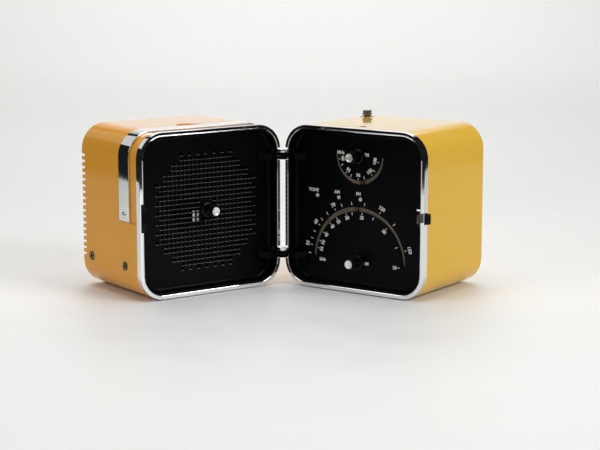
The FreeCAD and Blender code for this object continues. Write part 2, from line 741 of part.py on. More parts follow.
def batteries():
    """An open tray of three rows, two cells to a row, closed from behind by the ribbed door."""
    front = tray_back - tray_depth
    outer = box("tray_outer", (tray_length + 2 * dim.tray_wall, tray_depth, tray_height + 2 * dim.tray_wall),
                (-tray_length / 2 - dim.tray_wall, front, half - tray_height / 2 - dim.tray_wall))
    room = box("tray_room", (tray_length, tray_depth, tray_height),
               (-tray_length / 2, front + dim.tray_wall, half - tray_height / 2))
    fins = [box(f"tray_fin_{n}", (tray_length + 1, 5, 0.8),
                (-tray_length / 2 - 0.5, front + 0.5, half + (n - 0.5) * dim.cell_pitch - 0.4)) for n in range(2)]
    finish("battery_tray", fuse("battery_tray", [cut("tray_shell", outer, [room])] + fins), LEFT)
    cells = []
    contacts = []
    depth = front + dim.tray_wall + dim.cell_radius + 0.1
    for row in range(3):
        level = half + (row - 1) * dim.cell_pitch
        for column in range(2):
            can = rod(f"cell_can_{row}_{column}", dim.cell_radius - 0.1, dim.cell_length - 2,
                      ((column - 1) * dim.cell_length + 0.4, depth, level), ALONG_X)
            pip = rod(f"cell_pip_{row}_{column}", 3, 1.2,
                      (column * dim.cell_length - 1.6, depth, level), ALONG_X)
            cells.append(fuse(f"cell_{row}_{column}", [can, pip]))
        for sign, word in ((-1, "left"), (1, "right")):
            x = -tray_length / 2 if sign < 0 else tray_length / 2 - 0.5
            contacts.append(box(f"contact_{word}_{row}", (0.5, 12, 14), (x, depth - 6, level - 7)))
    finish("battery_cells", group("battery_cells", cells), LEFT)
    finish("battery_contacts", group("battery_contacts", contacts), LEFT)


def battery_door():
    """The removable part of the ribbed back, with a coin notch in its lower edge."""
    width = dim.door_width - 2 * dim.door_gap
    slab = box("door_slab", (width, rib_wall, door_height), (-width / 2, back_plane - rib_wall, door_low))
    tools = grooves("door_groove", width + 4)
    tools.append(box("door_coin_notch", (16, 3, 4), (-8, back_plane - 2.6, door_low - 1)))
    finish("battery_door", cut("battery_door", slab, tools), LEFT)


# ---------------------------------------------------------------- tuner

strip_front = panel_back + dim.pointer_room + dim.pointer_sheet + dim.pointer_room


def dial_strips():
    """The two pale half rings that show through the dial windows."""
    pieces = []
    for word, outer, inner, level, up in (("fm", dim.fm_outer, dim.fm_inner, dim.fm_centre, False),
                                          ("am", dim.am_outer, dim.am_inner, dim.am_centre, True)):
        ring = arc_slot(f"{word}_strip_ring", outer + (1.6 if word == "am" else 1.2), inner - 1.6, level,
                        strip_front, 1.0, up)
        if up:
            ends = [box(f"{word}_strip_end_{n}", (outer - inner + 3.2, 1.0, 1.4),
                        (x, strip_front, level - 1.4)) for n, x in enumerate((-outer - 1.6, inner - 1.6))]
            ring = fuse(f"{word}_strip", [ring] + ends)
        pieces.append(ring)
    finish("dial_strips", group("dial_strips", pieces), RIGHT)


def pointer(label, level, outer, degrees):
    """A hub with a thin arm whose end shows in the dial window; degrees turn it from straight up."""
    front = panel_back + dim.pointer_room
    hub = rod(f"{label}_hub", 4.2, dim.pointer_sheet, (0, front, 0))
    arm = box(f"{label}_arm", (2.4, dim.pointer_sheet, outer - 1), (-1.2, front, 0))
    flag = box(f"{label}_flag", (3.6, dim.pointer_sheet, 5.4), (-1.8, front, outer - 4.4))
    hole = rod(f"{label}_hole", dim.shaft_radius + 0.2, 6, (0, front - 2, 0))
    piece = cut(label, fuse(f"{label}_blank", [hub, arm, flag]), [hole])
    piece.Label = label
    turn = Placement(Vector(0, 0, level.number), Rotation(Vector(0, 1, 0), degrees))
    piece.Placement = POSE[RIGHT] * turn
    parts[label] = piece


def tuning_unit(word, level, size):
    """A variable capacitor with its slow-motion bush behind the dial."""
    depth, across_unit, tall = size
    front = strip_front + 2
    case = box(f"{word}_unit_case", (across_unit, depth, tall), (-across_unit / 2, front, level - tall / 2))
    bush = rod(f"{word}_unit_bush", 5, 2, (0, front - 1.6, level))
    bore = rod(f"{word}_unit_bore", dim.shaft_radius + 0.2, 8, (0, front - 3, level))
    label = f"{word}_tuning_capacitor"
    finish(label, cut(label, fuse(f"{word}_unit_blank", [case, bush]), [bore]), RIGHT)
    knob(f"{word}_knob", RIGHT, level, front + 4.5)


def circuit():
    """The board of the tuner with its cans, capacitors and transistors, and the rod aerial."""
    face = 34.0
    board = box("board_sheet", (88, 1.6, 92), (-44, face, 22))
    finish("circuit_board", board, RIGHT)
    rear = face + 1.6
    cans = [box(f"can_{n}", (8, 11, 8), (-38 + 19 * n, rear, 34)) for n in range(5)]
    finish("if_transformers", group("if_transformers", cans), RIGHT)
    drums = [rod(f"electrolytic_{n}", 4, 14, (2 + 12 * n, rear, 98)) for n in range(4)]
    finish("electrolytic_capacitors", group("electrolytic_capacitors", drums), RIGHT)
    bases = [rod(f"transistor_{n}", 2.6, 6, (-34 + 13 * n, rear, 58)) for n in range(6)]
    finish("transistors", group("transistors", bases), RIGHT)
    switch = box("switch_case", (50, 11, 9), (button_places[0] - 4.6, strip_front + 3, dim.button_height - 4.5))
    finish("selector_switch", switch, RIGHT)
    ferrite = rod("ferrite_bar", 4.5, 104, (-52, 69, 82), ALONG_X)
    finish("ferrite_rod", ferrite, RIGHT)
    coils = []
    for number, (x, length) in enumerate(((-44, 22), (20, 26))):
        tube = rod(f"coil_tube_{number}", 5.6, length, (x, 69, 82), ALONG_X)
        coils.append(cut(f"coil_{number}", tube, [rod(f"coil_room_{number}", 4.5, length + 2, (x - 1, 69, 82),
                                                      ALONG_X)]))
    finish("aerial_coils", group("aerial_coils", coils), RIGHT)


def push_buttons():
    for label, x in zip(("tone_button", "am_button", "fm_button"), button_places):
        stem = rod(f"{label}_stem", dim.button_radius, dim.button_proud + dim.panel_sheet,
                   (x, dim.panel_floor - dim.button_proud, dim.button_height))
        flange = rod(f"{label}_flange", dim.button_radius + 1, 0.8,
                     (x, panel_back + 0.1, dim.button_height))
        neck = rod(f"{label}_neck", dim.button_radius, 0.3, (x, panel_back - 0.1, dim.button_height))
        finish(label, fuse(label, [stem, neck, flange]), RIGHT)


# ---------------------------------------------------------------- hinge and latch

def hinge_arm(label, side, level, knuckle_low):
    """An arm from the hinge line through the trim, down to a foot on the floor of the dish."""

    def spot(from_hinge, depth):
        return (across(side, from_hinge), depth)

    tall = 2 * dim.knuckle_height + dim.knuckle_room
    corners = [spot(3.2, 0.1), spot(9.5, 0.1), spot(14.5, 4.2), spot(17.0, 6.4), spot(17.0, dim.panel_floor),
               spot(11.4, dim.panel_floor), spot(11.4, 6.4), spot(7.4, dim.arm_back), spot(3.2, dim.arm_back)]
    arm = plan_slab(f"{label}_arm", corners, level, tall)
    reach = [spot(-dim.hinge_gap, 0.1), spot(3.6, 0.1), spot(3.6, dim.arm_back), spot(0.6, dim.arm_back),
             spot(-dim.hinge_gap, dim.arm_back - 1)]
    root = plan_slab(f"{label}_root", reach, knuckle_low, dim.knuckle_height)
    axis = (across(side, -dim.hinge_gap), -dim.hinge_setback)
    barrel = rod(f"{label}_barrel", dim.knuckle_radius, dim.knuckle_height, (*axis, knuckle_low), ALONG_Z)
    bore = rod(f"{label}_bore", dim.pin_radius + 0.1, tall + 2, (*axis, level - 1), ALONG_Z)
    finish(label, cut(label, fuse(f"{label}_blank", [arm, root, barrel]), [bore]), side)


def hinges():
    """Two knuckle pairs; the fixed half's knuckle is below, the swinging half's above it."""
    pins = []
    axis_x = across(LEFT, -dim.hinge_gap)
    lift = dim.knuckle_height + dim.knuckle_room
    for word, level in arm_levels.items():
        hinge_arm(f"{word}_fixed_arm", LEFT, level, level)
        hinge_arm(f"{word}_swing_arm", RIGHT, level, level + lift)
        shank = rod(f"pin_shank_{word}", dim.pin_radius, 2 * dim.knuckle_height + dim.knuckle_room + 0.7,
                    (axis_x, -dim.hinge_setback, level - 0.4), ALONG_Z)
        top = level + lift + dim.knuckle_height + 0.2
        head = rod(f"pin_head_{word}", dim.knuckle_radius, dim.pin_head_height,
                   (axis_x, -dim.hinge_setback, top), ALONG_Z)
        slot = box(f"pin_slot_{word}", (1.0, 10, 1.0),
                   (axis_x - 0.5, -dim.hinge_setback - 5, top + dim.pin_head_height - 0.8))
        pins.append(cut(f"pin_{word}", fuse(f"pin_blank_{word}", [shank, head]), [slot]))
    finish("hinge_pins", group("hinge_pins", pins), LEFT)


def latch():
    """A sprung slide on the tuner half: thumb button outside the trim, hook inside it."""
    level = dim.latch_height
    edge = half
    button = box("latch_thumb", (5.6 + dim.trim_face, 3.6, 8.2), (edge - dim.trim_face - 2, 0.9, level - 4.4))
    outer = edge - dim.hook_inset
    plate = box("latch_plate", (3.4, dim.hook_depth, 14.0), (outer - 3.4, 0.6, level - 7.0))
    tongue = box("latch_tongue", (1.6, 6.2, 7.0), (outer - 2.2, -4.4, level - 3.5))
    barb = box("latch_barb", (0.6, 1.2, 7.0), (outer - 0.7, -4.4, level - 3.5))
    finish("latch_slide", fuse("latch_slide", [button, plate, tongue, barb]), RIGHT)


def latch_keeper():
    """The slotted plate on the loudspeaker half that the latch hook enters."""
    low = dim.latch_height - dim.keeper_height / 2
    x = -half + dim.keeper_inset
    plate = box("keeper_plate", (4.6, 1.6, dim.keeper_height), (x, 0.9, low))
    web = box("keeper_web", (1.6, dim.hook_depth - 0.2, dim.keeper_height), (x, 0.9, low))
    slot = box("keeper_slot", (3.4, 8, 8.2), (-half + dim.hook_inset - 0.3, -1, dim.latch_height - 4.1))
    finish("latch_keeper", cut("latch_keeper", fuse("keeper_blank", [plate, web]), [slot]), LEFT)


def keeper_seat(name, width):
    """The gap in trim and dish that the keeper sits in."""
    low = dim.latch_height - dim.keeper_height / 2
    return box(name, (width, 6.2, dim.keeper_height), (-half + dim.keeper_inset, -1, low))


def latch_windows():
    """The gaps in the tuner trim: one right through for the thumb button, a taller one for the hook."""
    level = dim.latch_height
    left = half - dim.hook_inset - 3.8
    return [box("latch_window", (dim.trim_face + 4, 4.4, 9.0), (half - dim.trim_face - 2, 0.5, level - 4.8)),
            box("hook_window", (4.1, dim.hook_depth + 2, 14.8), (left, -1, level - 7.4))]


# ---------------------------------------------------------------- aerial, feet, screws

def aerial():
    """Three tubes or rods that slide out of a fixed sleeve, one inside the next."""
    top = dim.cube_size - dim.shell_wall - 0.4
    spot = (aerial_x, dim.aerial_depth)
    sleeve = rod("sleeve_outer", dim.aerial_radius + 1.0, top - 9, (*spot, 9), ALONG_Z)
    room = rod("sleeve_room", dim.aerial_radius + 0.25, top, (*spot, 11), ALONG_Z)
    foot = box("sleeve_foot", (12, 12, 2), (aerial_x - 4.4, dim.aerial_depth - 6, dim.shell_wall))
    stem = rod("sleeve_stem", 3, 9, (*spot, dim.shell_wall), ALONG_Z)
    finish("aerial_sleeve", cut("aerial_sleeve", fuse("sleeve_blank", [sleeve, foot, stem]), [room]), RIGHT)
    for number in range(2):
        radius = dim.aerial_radius - number * dim.aerial_step
        bore = radius - dim.aerial_wall
        low = 12 + number * 2
        length = dim.cube_size - 0.6 - low
        tube = rod(f"section_{number}_tube", radius, length, (*spot, low), ALONG_Z)
        space = rod(f"section_{number}_space", bore, length, (*spot, low + 1.2), ALONG_Z)
        finish(f"aerial_section_{number + 1}", cut(f"aerial_section_{number + 1}", tube, [space]), RIGHT)
    inner = dim.aerial_radius - 2 * dim.aerial_step
    finish("aerial_section_3", rod("section_2_rod", inner, dim.cube_size + 2 - 16.5, (*spot, 16.5), ALONG_Z),
           RIGHT)
    low = dim.cube_size + 0.3
    tip = [rod("tip_foot", dim.tip_radius - 1.3, dim.tip_height - 0.4, (*spot, low), ALONG_Z),
           rod("tip_ring_low", dim.tip_radius, 1.4, (*spot, low + 1.4), ALONG_Z),
           rod("tip_ring_high", dim.tip_radius - 0.5, 1.8, (*spot, low + dim.tip_height - 1.8), ALONG_Z)]
    bore = rod("tip_bore", inner, 3, (*spot, dim.cube_size - 1), ALONG_Z)
    finish("aerial_tip", cut("aerial_tip", fuse("tip_blank", tip), [bore]), RIGHT)


def feet(label, side):
    pads = [rod(f"{label}_{n}", 5, dim.foot_height, (x, y, -dim.foot_height), ALONG_Z)
            for n, (x, y) in enumerate(((-38, 16), (38, 16), (-38, 78), (38, 78)))]
    finish(label, group(label, pads), side)


def case_screws(label, side, spots):
    """Long screws from the back into the panel posts, heads sunk in the shell."""
    screws = []
    for number, (x, z) in enumerate(spots):
        head = rod(f"{label}_head_{number}", 3.3, 1.3, (x, back_plane - 1.6, z))
        shank = rod(f"{label}_shank_{number}", 1.4, 22, (x, back_plane - 23.4, z))
        slot = box(f"{label}_slot_{number}", (8, 0.7, 0.8), (x - 4, back_plane - 0.8, z - 0.4))
        screws.append(cut(f"{label}_{number}", fuse(f"{label}_blank_{number}", [head, shank]), [slot]))
    finish(label, group(label, screws), side)


def top_plug():
    """The sunk plug in the top of the tuner shell."""
    spot = (across(RIGHT, 63.9), 15.9)
    disc = rod("top_plug_disc", 2.9, 1.4, (*spot, dim.cube_size - dim.shell_wall + 0.2), ALONG_Z)
    collar = rod("top_plug_collar", 4.2, 1.2, (*spot, dim.cube_size - dim.shell_wall - 1.2), ALONG_Z)
    link = rod("top_plug_link", 2.9, 0.6, (*spot, dim.cube_size - dim.shell_wall - 0.2), ALONG_Z)
    socket = box("top_plug_socket", (3, 1.2, 1), (spot[0] - 1.5, spot[1] - 0.6, dim.cube_size - 1.4))
    finish("top_plug", cut("top_plug", fuse("top_plug_blank", [disc, collar, link]), [socket]), RIGHT)


# ---------------------------------------------------------------- assembly

def check():
    """Stop if any object failed or any piece is empty or broken."""
    doc.recompute()
    failed = [item.Label for item in doc.Objects
              if "Invalid" in item.State or "Error" in item.State]
    broken = [label for label, piece in parts.items()
              if piece.Shape.isNull() or not piece.Shape.isValid() or piece.Shape.Volume <= 0]
    if failed or broken:
        raise RuntimeError(f"failed objects {failed}, broken pieces {broken}")


def main():
    speaker_shell()
    trim("speaker_trim", LEFT, [keeper_seat("trim_keeper_seat", 4.0)])
    speaker_panel()
    speaker_grille()
    loudspeaker()
    volume_control()
    jack("earphone_jack", dim.jack_front)
    jack("power_jack", dim.jack_rear)
    latch_keeper()
    handle()
    batteries()
    battery_door()
    feet("speaker_feet", LEFT)
    case_screws("speaker_case_screws", LEFT, speaker_screw_spots)
    hinges()

    tuner_shell()
    trim("tuner_trim", RIGHT, latch_windows())
    dial_panel()
    dial_strips()
    pointer("fm_pointer", dim.fm_centre, dim.fm_outer, 175.6)
    pointer("am_pointer", dim.am_centre, dim.am_outer, -4.6)
    tuning_unit("fm", dim.fm_centre, (16, 28, 28))
    tuning_unit("am", dim.am_centre, (18, 32, 28))
    circuit()
    push_buttons()
    latch()
    aerial()
    top_plug()
    feet("tuner_feet", RIGHT)
    case_screws("tuner_case_screws", RIGHT, tuner_screw_spots)

    check()
    os.makedirs("parts", exist_ok=True)
    for label, piece in parts.items():
        piece.Shape.exportStep(f"parts/{label}.step")
    print(len(parts), "pieces written")


main()
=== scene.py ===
"""Looks for a folding radio made of two yellow cubes: a grille half and a dial half."""
import math

import bmesh
import bpy
from mathutils import Matrix, Vector


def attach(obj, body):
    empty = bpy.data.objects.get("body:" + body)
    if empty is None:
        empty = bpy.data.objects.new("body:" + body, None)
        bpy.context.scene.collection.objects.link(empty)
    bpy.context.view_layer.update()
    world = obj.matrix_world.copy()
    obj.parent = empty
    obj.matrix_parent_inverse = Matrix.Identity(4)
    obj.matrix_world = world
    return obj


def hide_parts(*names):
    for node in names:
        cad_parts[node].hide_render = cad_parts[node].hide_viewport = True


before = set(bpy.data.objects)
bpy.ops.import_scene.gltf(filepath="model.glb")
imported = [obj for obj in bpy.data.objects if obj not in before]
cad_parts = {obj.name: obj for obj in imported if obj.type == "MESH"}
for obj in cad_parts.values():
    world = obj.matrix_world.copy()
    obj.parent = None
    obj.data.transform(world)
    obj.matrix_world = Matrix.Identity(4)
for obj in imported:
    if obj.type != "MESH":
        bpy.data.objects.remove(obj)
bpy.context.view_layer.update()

# Sizes in millimetres. x runs across a half's face, y is depth behind the face, z is height.
CUBE = 130.0
HALF = CUBE / 2
CORNER = 20.7
SMALLEST_CORNER = 0.4
FOOT = 0.8
FOLD = 35.35
HINGE_GAP = 1.9
HINGE_SETBACK = 0.6
HINGE_LINE_BACK = 1.6
TRIM_DEPTH = 5.3
TRIM_FACE = 3.2
PANEL_EDGE = 3.4
PANEL_FRONT = 0.8
PANEL_FLOOR = 8.5
PANEL_BACK = 10.5
PANEL_RIM = 1.4
COVE = 6.4
BACK_COVE = 7.4
HOLE_PITCH = 3.76
HOLE_SIDE = 2.6
MOUTH_DEPTH = 0.34
MOUTH_STEP_DEPTH = 0.14
MOUTH_STEP = 0.16
MOUTH_FLARE = 0.60
MOUTH_MARGIN = 0.02
GRILLE_HEIGHT = 65.6
GRILLE_ROWS = 25
ROW_LIMITS = {11: 6, 10: 8, 9: 8, 8: 10, 7: 10}
FM_HEIGHT = 107.6
FM_WINDOW = (22.7, 19.6)
AM_HEIGHT = 23.3
AM_WINDOW = (43.6, 40.1)
WINDOW_STEPS = 72
BUTTON_HEIGHT = 73.7
BUTTON_SPOTS = (-37.8, -17.4, 3.0)
BUTTON_HOLE = 2.45
LATCH_HEIGHT = 65.0
HOOK_OUTER = HALF - 1.8
ARM_LEVELS = (101.3, 21.4)
ARM_NOTCH = (-0.5, 9.3)
ARM_REACH = 6.5
BLACK_BAND_REACH = 8.0
AERIAL_SPOT = (-39.8, 81.8)
SOCKET_HEIGHT = 25.0
STRIP_DEPTH = 24.75
PLUG_SPOT = (-1.1, 15.9)
NUMBER_HEIGHT = 2.7
UNIT_HEIGHT = 2.5
TICK_WIDTH = 0.55
PRINT_THICKNESS = 0.02
STROKE_GAIN = 0.14
SIZE_PER_HEIGHT = 1.42

LEFT = -1
RIGHT = 1
TO_METRES = 0.001
QUARTER_TURN = math.pi / 2
TINY = 1e-6
SAME_POINT = 2e-6
FLAT_ANGLE = 1.0


def half_matrix(side):
    """From a half's own millimetres to the model's metres."""
    stand = Matrix.Translation((0, HINGE_LINE_BACK, FOOT))
    swing = Matrix.Rotation(math.radians(-side * FOLD), 4, "Z")
    offset = Matrix.Translation((side * (HINGE_GAP + HALF), HINGE_SETBACK, 0))
    return Matrix.Scale(TO_METRES, 4) @ stand @ swing @ offset


PLACE = {side: half_matrix(side) for side in (LEFT, RIGHT)}


# ---------------------------------------------------------------- materials

def node(tree, kind, **inputs):
    """A shader node with some of its inputs filled; spaces in socket names are underscores."""
    made = tree.nodes.new(kind)
    for key, value in inputs.items():
        socket = made.inputs[key.replace("_", " ")]
        if isinstance(value, bpy.types.NodeSocket):
            tree.links.new(value, socket)
        else:
            socket.default_value = value
    return made


def noise(tree, coords, scale, detail, stretch):
    """Noise over the surface, drawn out along an axis where stretch is under 1."""
    spread = node(tree, "ShaderNodeMapping", Vector=coords, Scale=stretch)
    made = node(tree, "ShaderNodeTexNoise", Vector=spread.outputs[0], Scale=scale, Detail=detail)
    return made.outputs["Fac"]


def ramp(tree, value, low, high, start=0.35, end=0.65):
    """A value spread over a range of numbers."""
    made = node(tree, "ShaderNodeMapRange", Value=value)
    made.inputs["From Min"].default_value = start
    made.inputs["From Max"].default_value = end
    made.inputs["To Min"].default_value = low
    made.inputs["To Max"].default_value = high
    return made.outputs[0]


def blend_colours(tree, factor, first, second):
    """Mix two colours; each is a socket or plain red, green and blue."""
    made = tree.nodes.new("ShaderNodeMix")
    made.data_type = "RGBA"
    tree.links.new(factor, made.inputs["Factor"])
    for socket, colour in ((made.inputs[6], first), (made.inputs[7], second)):
        if isinstance(colour, bpy.types.NodeSocket):
            tree.links.new(colour, socket)
        else:
            socket.default_value = (*colour, 1)
    return made.outputs[2]


RELIEF_DEPTH = 0.0004
BAND_SPACING_AT_SCALE_ONE = 0.31


def surface(name, first, second, rough, metallic=0.0, coat=0.0, mottle=60.0, grain=900.0, relief=0.05,
            stretch=(1, 1, 1), smudge=25.0, specular=0.5, sheen=0.0, ior=1.5, coat_ior=1.5,
            coat_rough=0.04):
    """A finish whose colour, roughness and fine relief all vary over the surface."""
    made = bpy.data.materials.new(name)
    made.use_nodes = True
    tree = made.node_tree
    tree.nodes.clear()
    coords = tree.nodes.new("ShaderNodeTexCoord").outputs["Object"]
    share = ramp(tree, noise(tree, coords, mottle, 4, stretch), 0, 1)
    colour = blend_colours(tree, share, first, second)
    roughness = ramp(tree, noise(tree, coords, smudge, 5, stretch), *rough)
    bump = node(tree, "ShaderNodeBump", Height=noise(tree, coords, grain, 2, stretch),
                Strength=relief, Distance=RELIEF_DEPTH)
    shader = node(tree, "ShaderNodeBsdfPrincipled", Base_Color=colour, Roughness=roughness,
                  Metallic=metallic, Coat_Weight=coat, Coat_Roughness=coat_rough, Coat_IOR=coat_ior,
                  IOR=ior, Specular_IOR_Level=specular, Sheen_Weight=sheen, Normal=bump.outputs[0])
    result = tree.nodes.new("ShaderNodeOutputMaterial")
    tree.links.new(shader.outputs[0], result.inputs["Surface"])
    return made


def add_bands(material, spacing, other, width, axis="Z"):
    """Repeat a band of another colour along one axis, over a material's colour."""
    tree = material.node_tree
    shader = next(item for item in tree.nodes if item.type == "BSDF_PRINCIPLED")
    base = shader.inputs["Base Color"].links[0].from_socket
    coords = tree.nodes.new("ShaderNodeTexCoord").outputs["Object"]
    wave = node(tree, "ShaderNodeTexWave", Vector=coords, Scale=BAND_SPACING_AT_SCALE_ONE / spacing,
                Distortion=0.6, Detail=2.0)
    wave.bands_direction = axis
    share = ramp(tree, wave.outputs["Fac"], 0, 1, width, width + 0.25)
    tree.links.new(blend_colours(tree, share, base, other), shader.inputs["Base Color"])


# Both halves are the same yellow plastic. The speaker half's copy is painted redder and deeper as painted
# shade for the weaker light on that side; the tuner half's copy is the plain yellow.
SHADED_YELLOW = surface("speaker_yellow_painted_shade", (0.87, 0.405, 0.050), (0.84, 0.385, 0.045), (0.10, 0.16),
                coat=1.0, mottle=9, grain=420, relief=0.03, smudge=14, ior=1.1, coat_ior=1.2,
                coat_rough=0.07)
YELLOW = surface("yellow_plastic", (0.82, 0.500, 0.068), (0.79, 0.478, 0.062), (0.10, 0.16),
                 coat=1.0, mottle=9, grain=420, relief=0.03, smudge=14, ior=1.1, coat_ior=1.2,
                 coat_rough=0.07)
BLACK = surface("black_plastic", (0.0006, 0.0010, 0.0018), (0.0010, 0.0015, 0.0025), (0.26, 0.36),
                mottle=40, grain=700, relief=0.05, smudge=18, specular=0.07)
# Paler grey for the upward-facing lips of the grille holes: a painted highlight where they face the light
# from above.
LIP_PAINTED_HIGHLIGHT = surface("hole_lip_painted_highlight", (0.10, 0.10, 0.10), (0.16, 0.16, 0.16), (0.30, 0.45),
                     mottle=200, grain=900, relief=0.1, coat=1.0, coat_rough=0.3)
SATIN_BLACK = surface("satin_black", (0.010, 0.010, 0.011), (0.018, 0.018, 0.019), (0.42, 0.55),
                      mottle=80, grain=1600, relief=0.2)
CONTROL = surface("control_black", (0.0015, 0.0015, 0.002), (0.003, 0.003, 0.0035), (0.18, 0.28),
                  mottle=120, grain=900, relief=0.05, specular=0.18)
CHROME = surface("chrome", (0.86, 0.86, 0.87), (0.80, 0.80, 0.81), (0.035, 0.075),
                 metallic=1.0, mottle=30, grain=300, relief=0.03, smudge=30)
STRIP = surface("bright_strip", (0.84, 0.84, 0.84), (0.74, 0.74, 0.73), (0.03, 0.08),
                metallic=1.0, mottle=50, grain=260, relief=0.05, stretch=(1, 1, 0.25), smudge=40)
STEEL = surface("plated_steel", (0.55, 0.54, 0.51), (0.42, 0.41, 0.38), (0.28, 0.45),
                metallic=1.0, mottle=90, grain=700, relief=0.12)
CAP = surface("turned_disc", (0.97, 0.96, 0.93), (0.92, 0.91, 0.88), (0.22, 0.32),
              metallic=0.7, mottle=160, grain=1400, relief=0.1)
BLACK_METAL = surface("black_metal", (0.002, 0.002, 0.002), (0.004, 0.004, 0.004), (0.28, 0.40),
                      mottle=120, grain=900, relief=0.10, specular=0.12)
NICKEL = surface("dark_nickel", (0.30, 0.275, 0.245), (0.22, 0.20, 0.18), (0.10, 0.18),
                 metallic=1.0, mottle=90, grain=800, relief=0.08)
DARK_METAL = surface("burnished_metal", (0.10, 0.095, 0.088), (0.060, 0.057, 0.053), (0.12, 0.22),
                     metallic=1.0, mottle=90, grain=800, relief=0.08)
ZINC = surface("bright_zinc", (0.95, 0.95, 0.93), (0.82, 0.82, 0.80), (0.40, 0.55),
               metallic=0.3, mottle=140, grain=900, relief=0.1)
RUBBER = surface("rubber", (0.020, 0.018, 0.017), (0.034, 0.030, 0.028), (0.70, 0.85),
                 grain=1800, relief=0.3, specular=0.3)
CREAM = surface("scale_cream", (0.42, 0.34, 0.24), (0.30, 0.235, 0.16), (0.35, 0.55),
                mottle=70, grain=800)
RED = surface("pointer_red", (0.20, 0.006, 0.006), (0.14, 0.004, 0.004), (0.25, 0.40),
              coat=0.3, grain=900)
PALE = surface("button_pale", (0.62, 0.61, 0.56), (0.52, 0.51, 0.46), (0.25, 0.38),
               coat=0.4, mottle=130, grain=900)
PRINT = surface("white_print", (0.88, 0.88, 0.85), (0.78, 0.78, 0.75), (0.5, 0.65),
                mottle=500, grain=2500)
PAPER = surface("cone_paper", (0.030, 0.027, 0.024), (0.055, 0.049, 0.042), (0.80, 0.95),
                mottle=260, grain=1500, relief=0.5, specular=0.2, sheen=0.1)
FERRITE = surface("ferrite", (0.050, 0.048, 0.045), (0.090, 0.085, 0.080), (0.55, 0.75),
                  grain=1300, relief=0.4)
BOARD = surface("board_brown", (0.34, 0.19, 0.075), (0.25, 0.13, 0.05), (0.35, 0.5),
                mottle=120, grain=1200, relief=0.2, stretch=(1, 1, 6))
CAN = surface("can_silver", (0.72, 0.72, 0.72), (0.60, 0.60, 0.59), (0.22, 0.36),
              metallic=1.0, grain=900, stretch=(1, 1, 0.2))
DRUM = surface("drum_blue", (0.035, 0.085, 0.27), (0.025, 0.065, 0.21), (0.3, 0.4), coat=0.3)
COPPER = surface("coil_copper", (0.62, 0.30, 0.13), (0.52, 0.24, 0.10), (0.25, 0.4),
                 metallic=0.8, grain=1500)
CELL = surface("cell_red", (0.38, 0.035, 0.022), (0.30, 0.026, 0.018), (0.25, 0.4), coat=0.4)
PALE_FLOOR = surface("pale_floor", (0.90, 0.90, 0.885), (0.89, 0.89, 0.875), (0.45, 0.6),
                     mottle=3, grain=200, relief=0.02)
add_bands(COPPER, 0.0008, (0.16, 0.06, 0.025), 0.35, "X")
add_bands(CELL, 0.0266, (0.55, 0.50, 0.36), 0.62)


# ---------------------------------------------------------------- mesh tools

def rounded_corners(points, steps=4):
    """A polyline whose corners carry a radius as their third number; each becomes an arc."""
    line = []
    count = len(points)
    for index, (a, b, radius) in enumerate(points):
        here = Vector((a, b))
        before = Vector(points[index - 1][:2]) - here
        after = Vector(points[(index + 1) % count][:2]) - here
        if radius <= 0 or before.length < TINY or after.length < TINY:
            line.append((a, b))
            continue
        turn = before.angle(after)
        reach = min(radius / math.tan(turn / 2), before.length * 0.49, after.length * 0.49)
        start = here + before.normalized() * reach
        end = here + after.normalized() * reach
        for step in range(steps + 1):
            t = step / steps
            first = start.lerp(here, t)
            second = here.lerp(end, t)
            line.append(tuple(first.lerp(second, t)))
    return line


def outline(inset, steps):
    """A rounded square so far inside the cube's outline, as (x, z) points."""
    reach = HALF - inset
    radius = max(CORNER - inset, SMALLEST_CORNER)
    points = []
    for quarter in range(4):
        angle = quarter * QUARTER_TURN
        centre_x = (reach - radius) * (1 if quarter in (0, 3) else -1)
        centre_z = HALF + (reach - radius) * (1 if quarter in (0, 1) else -1)
        for step in range(steps + 1):
            turn = angle + step / steps * QUARTER_TURN
            points.append((centre_x + radius * math.cos(turn), centre_z + radius * math.sin(turn)))
    return points


def join_loops(bm, first, second):
    """Faces between two closed loops with the same number of points."""
    count = len(first)
    for n in range(count):
        after = (n + 1) % count
        bm.faces.new((first[n], first[after], second[after], second[n]))


def frame_loops(bm, stations, closed, steps):
    """A skin over rounded squares given as (inset, depth); closed joins the last to the first."""
    loops = []
    for inset, depth in stations:
        loops.append([bm.verts.new((x, depth, z)) for x, z in outline(inset, steps)])
    pairs = list(zip(loops, loops[1:]))
    if closed:
        pairs.append((loops[-1], loops[0]))
    for first, second in pairs:
        join_loops(bm, first, second)
    return loops


def lathe(bm, profile, steps=48, matrix=Matrix()):
    """Turn (radius, height) points about the z axis; both ends are closed if they reach it."""
    loops = []
    for radius, height in profile:
        if radius < TINY:
            spots = [(0, 0, height)]
        else:
            turns = [2 * math.pi * n / steps for n in range(steps)]
            spots = [(radius * math.cos(turn), radius * math.sin(turn), height) for turn in turns]
        loops.append([bm.verts.new(matrix @ Vector(spot)) for spot in spots])
    for first, second in zip(loops, loops[1:]):
        if len(first) == 1 and len(second) == 1:
            continue
        for n in range(steps):
            after = (n + 1) % steps
            if len(first) == 1:
                bm.faces.new((first[0], second[after], second[n]))
            elif len(second) == 1:
                bm.faces.new((first[n], first[after], second[0]))
            else:
                bm.faces.new((first[n], first[after], second[after], second[n]))


# Turn a piece drawn upwards so that it points forwards, left or right.
TO_FRONT = Matrix.Rotation(math.radians(90), 4, "X")
TO_OUTER = Matrix.Rotation(math.radians(-90), 4, "Y")
TO_INNER = Matrix.Rotation(math.radians(90), 4, "Y")


def block(bm, low, high):
    """A box between two corners."""
    middle = (Vector(low) + Vector(high)) / 2
    size = Vector(high) - Vector(low)
    matrix = Matrix.Translation(middle) @ Matrix.Diagonal((*size, 1))
    return bmesh.ops.create_cube(bm, size=1, matrix=matrix)["verts"]


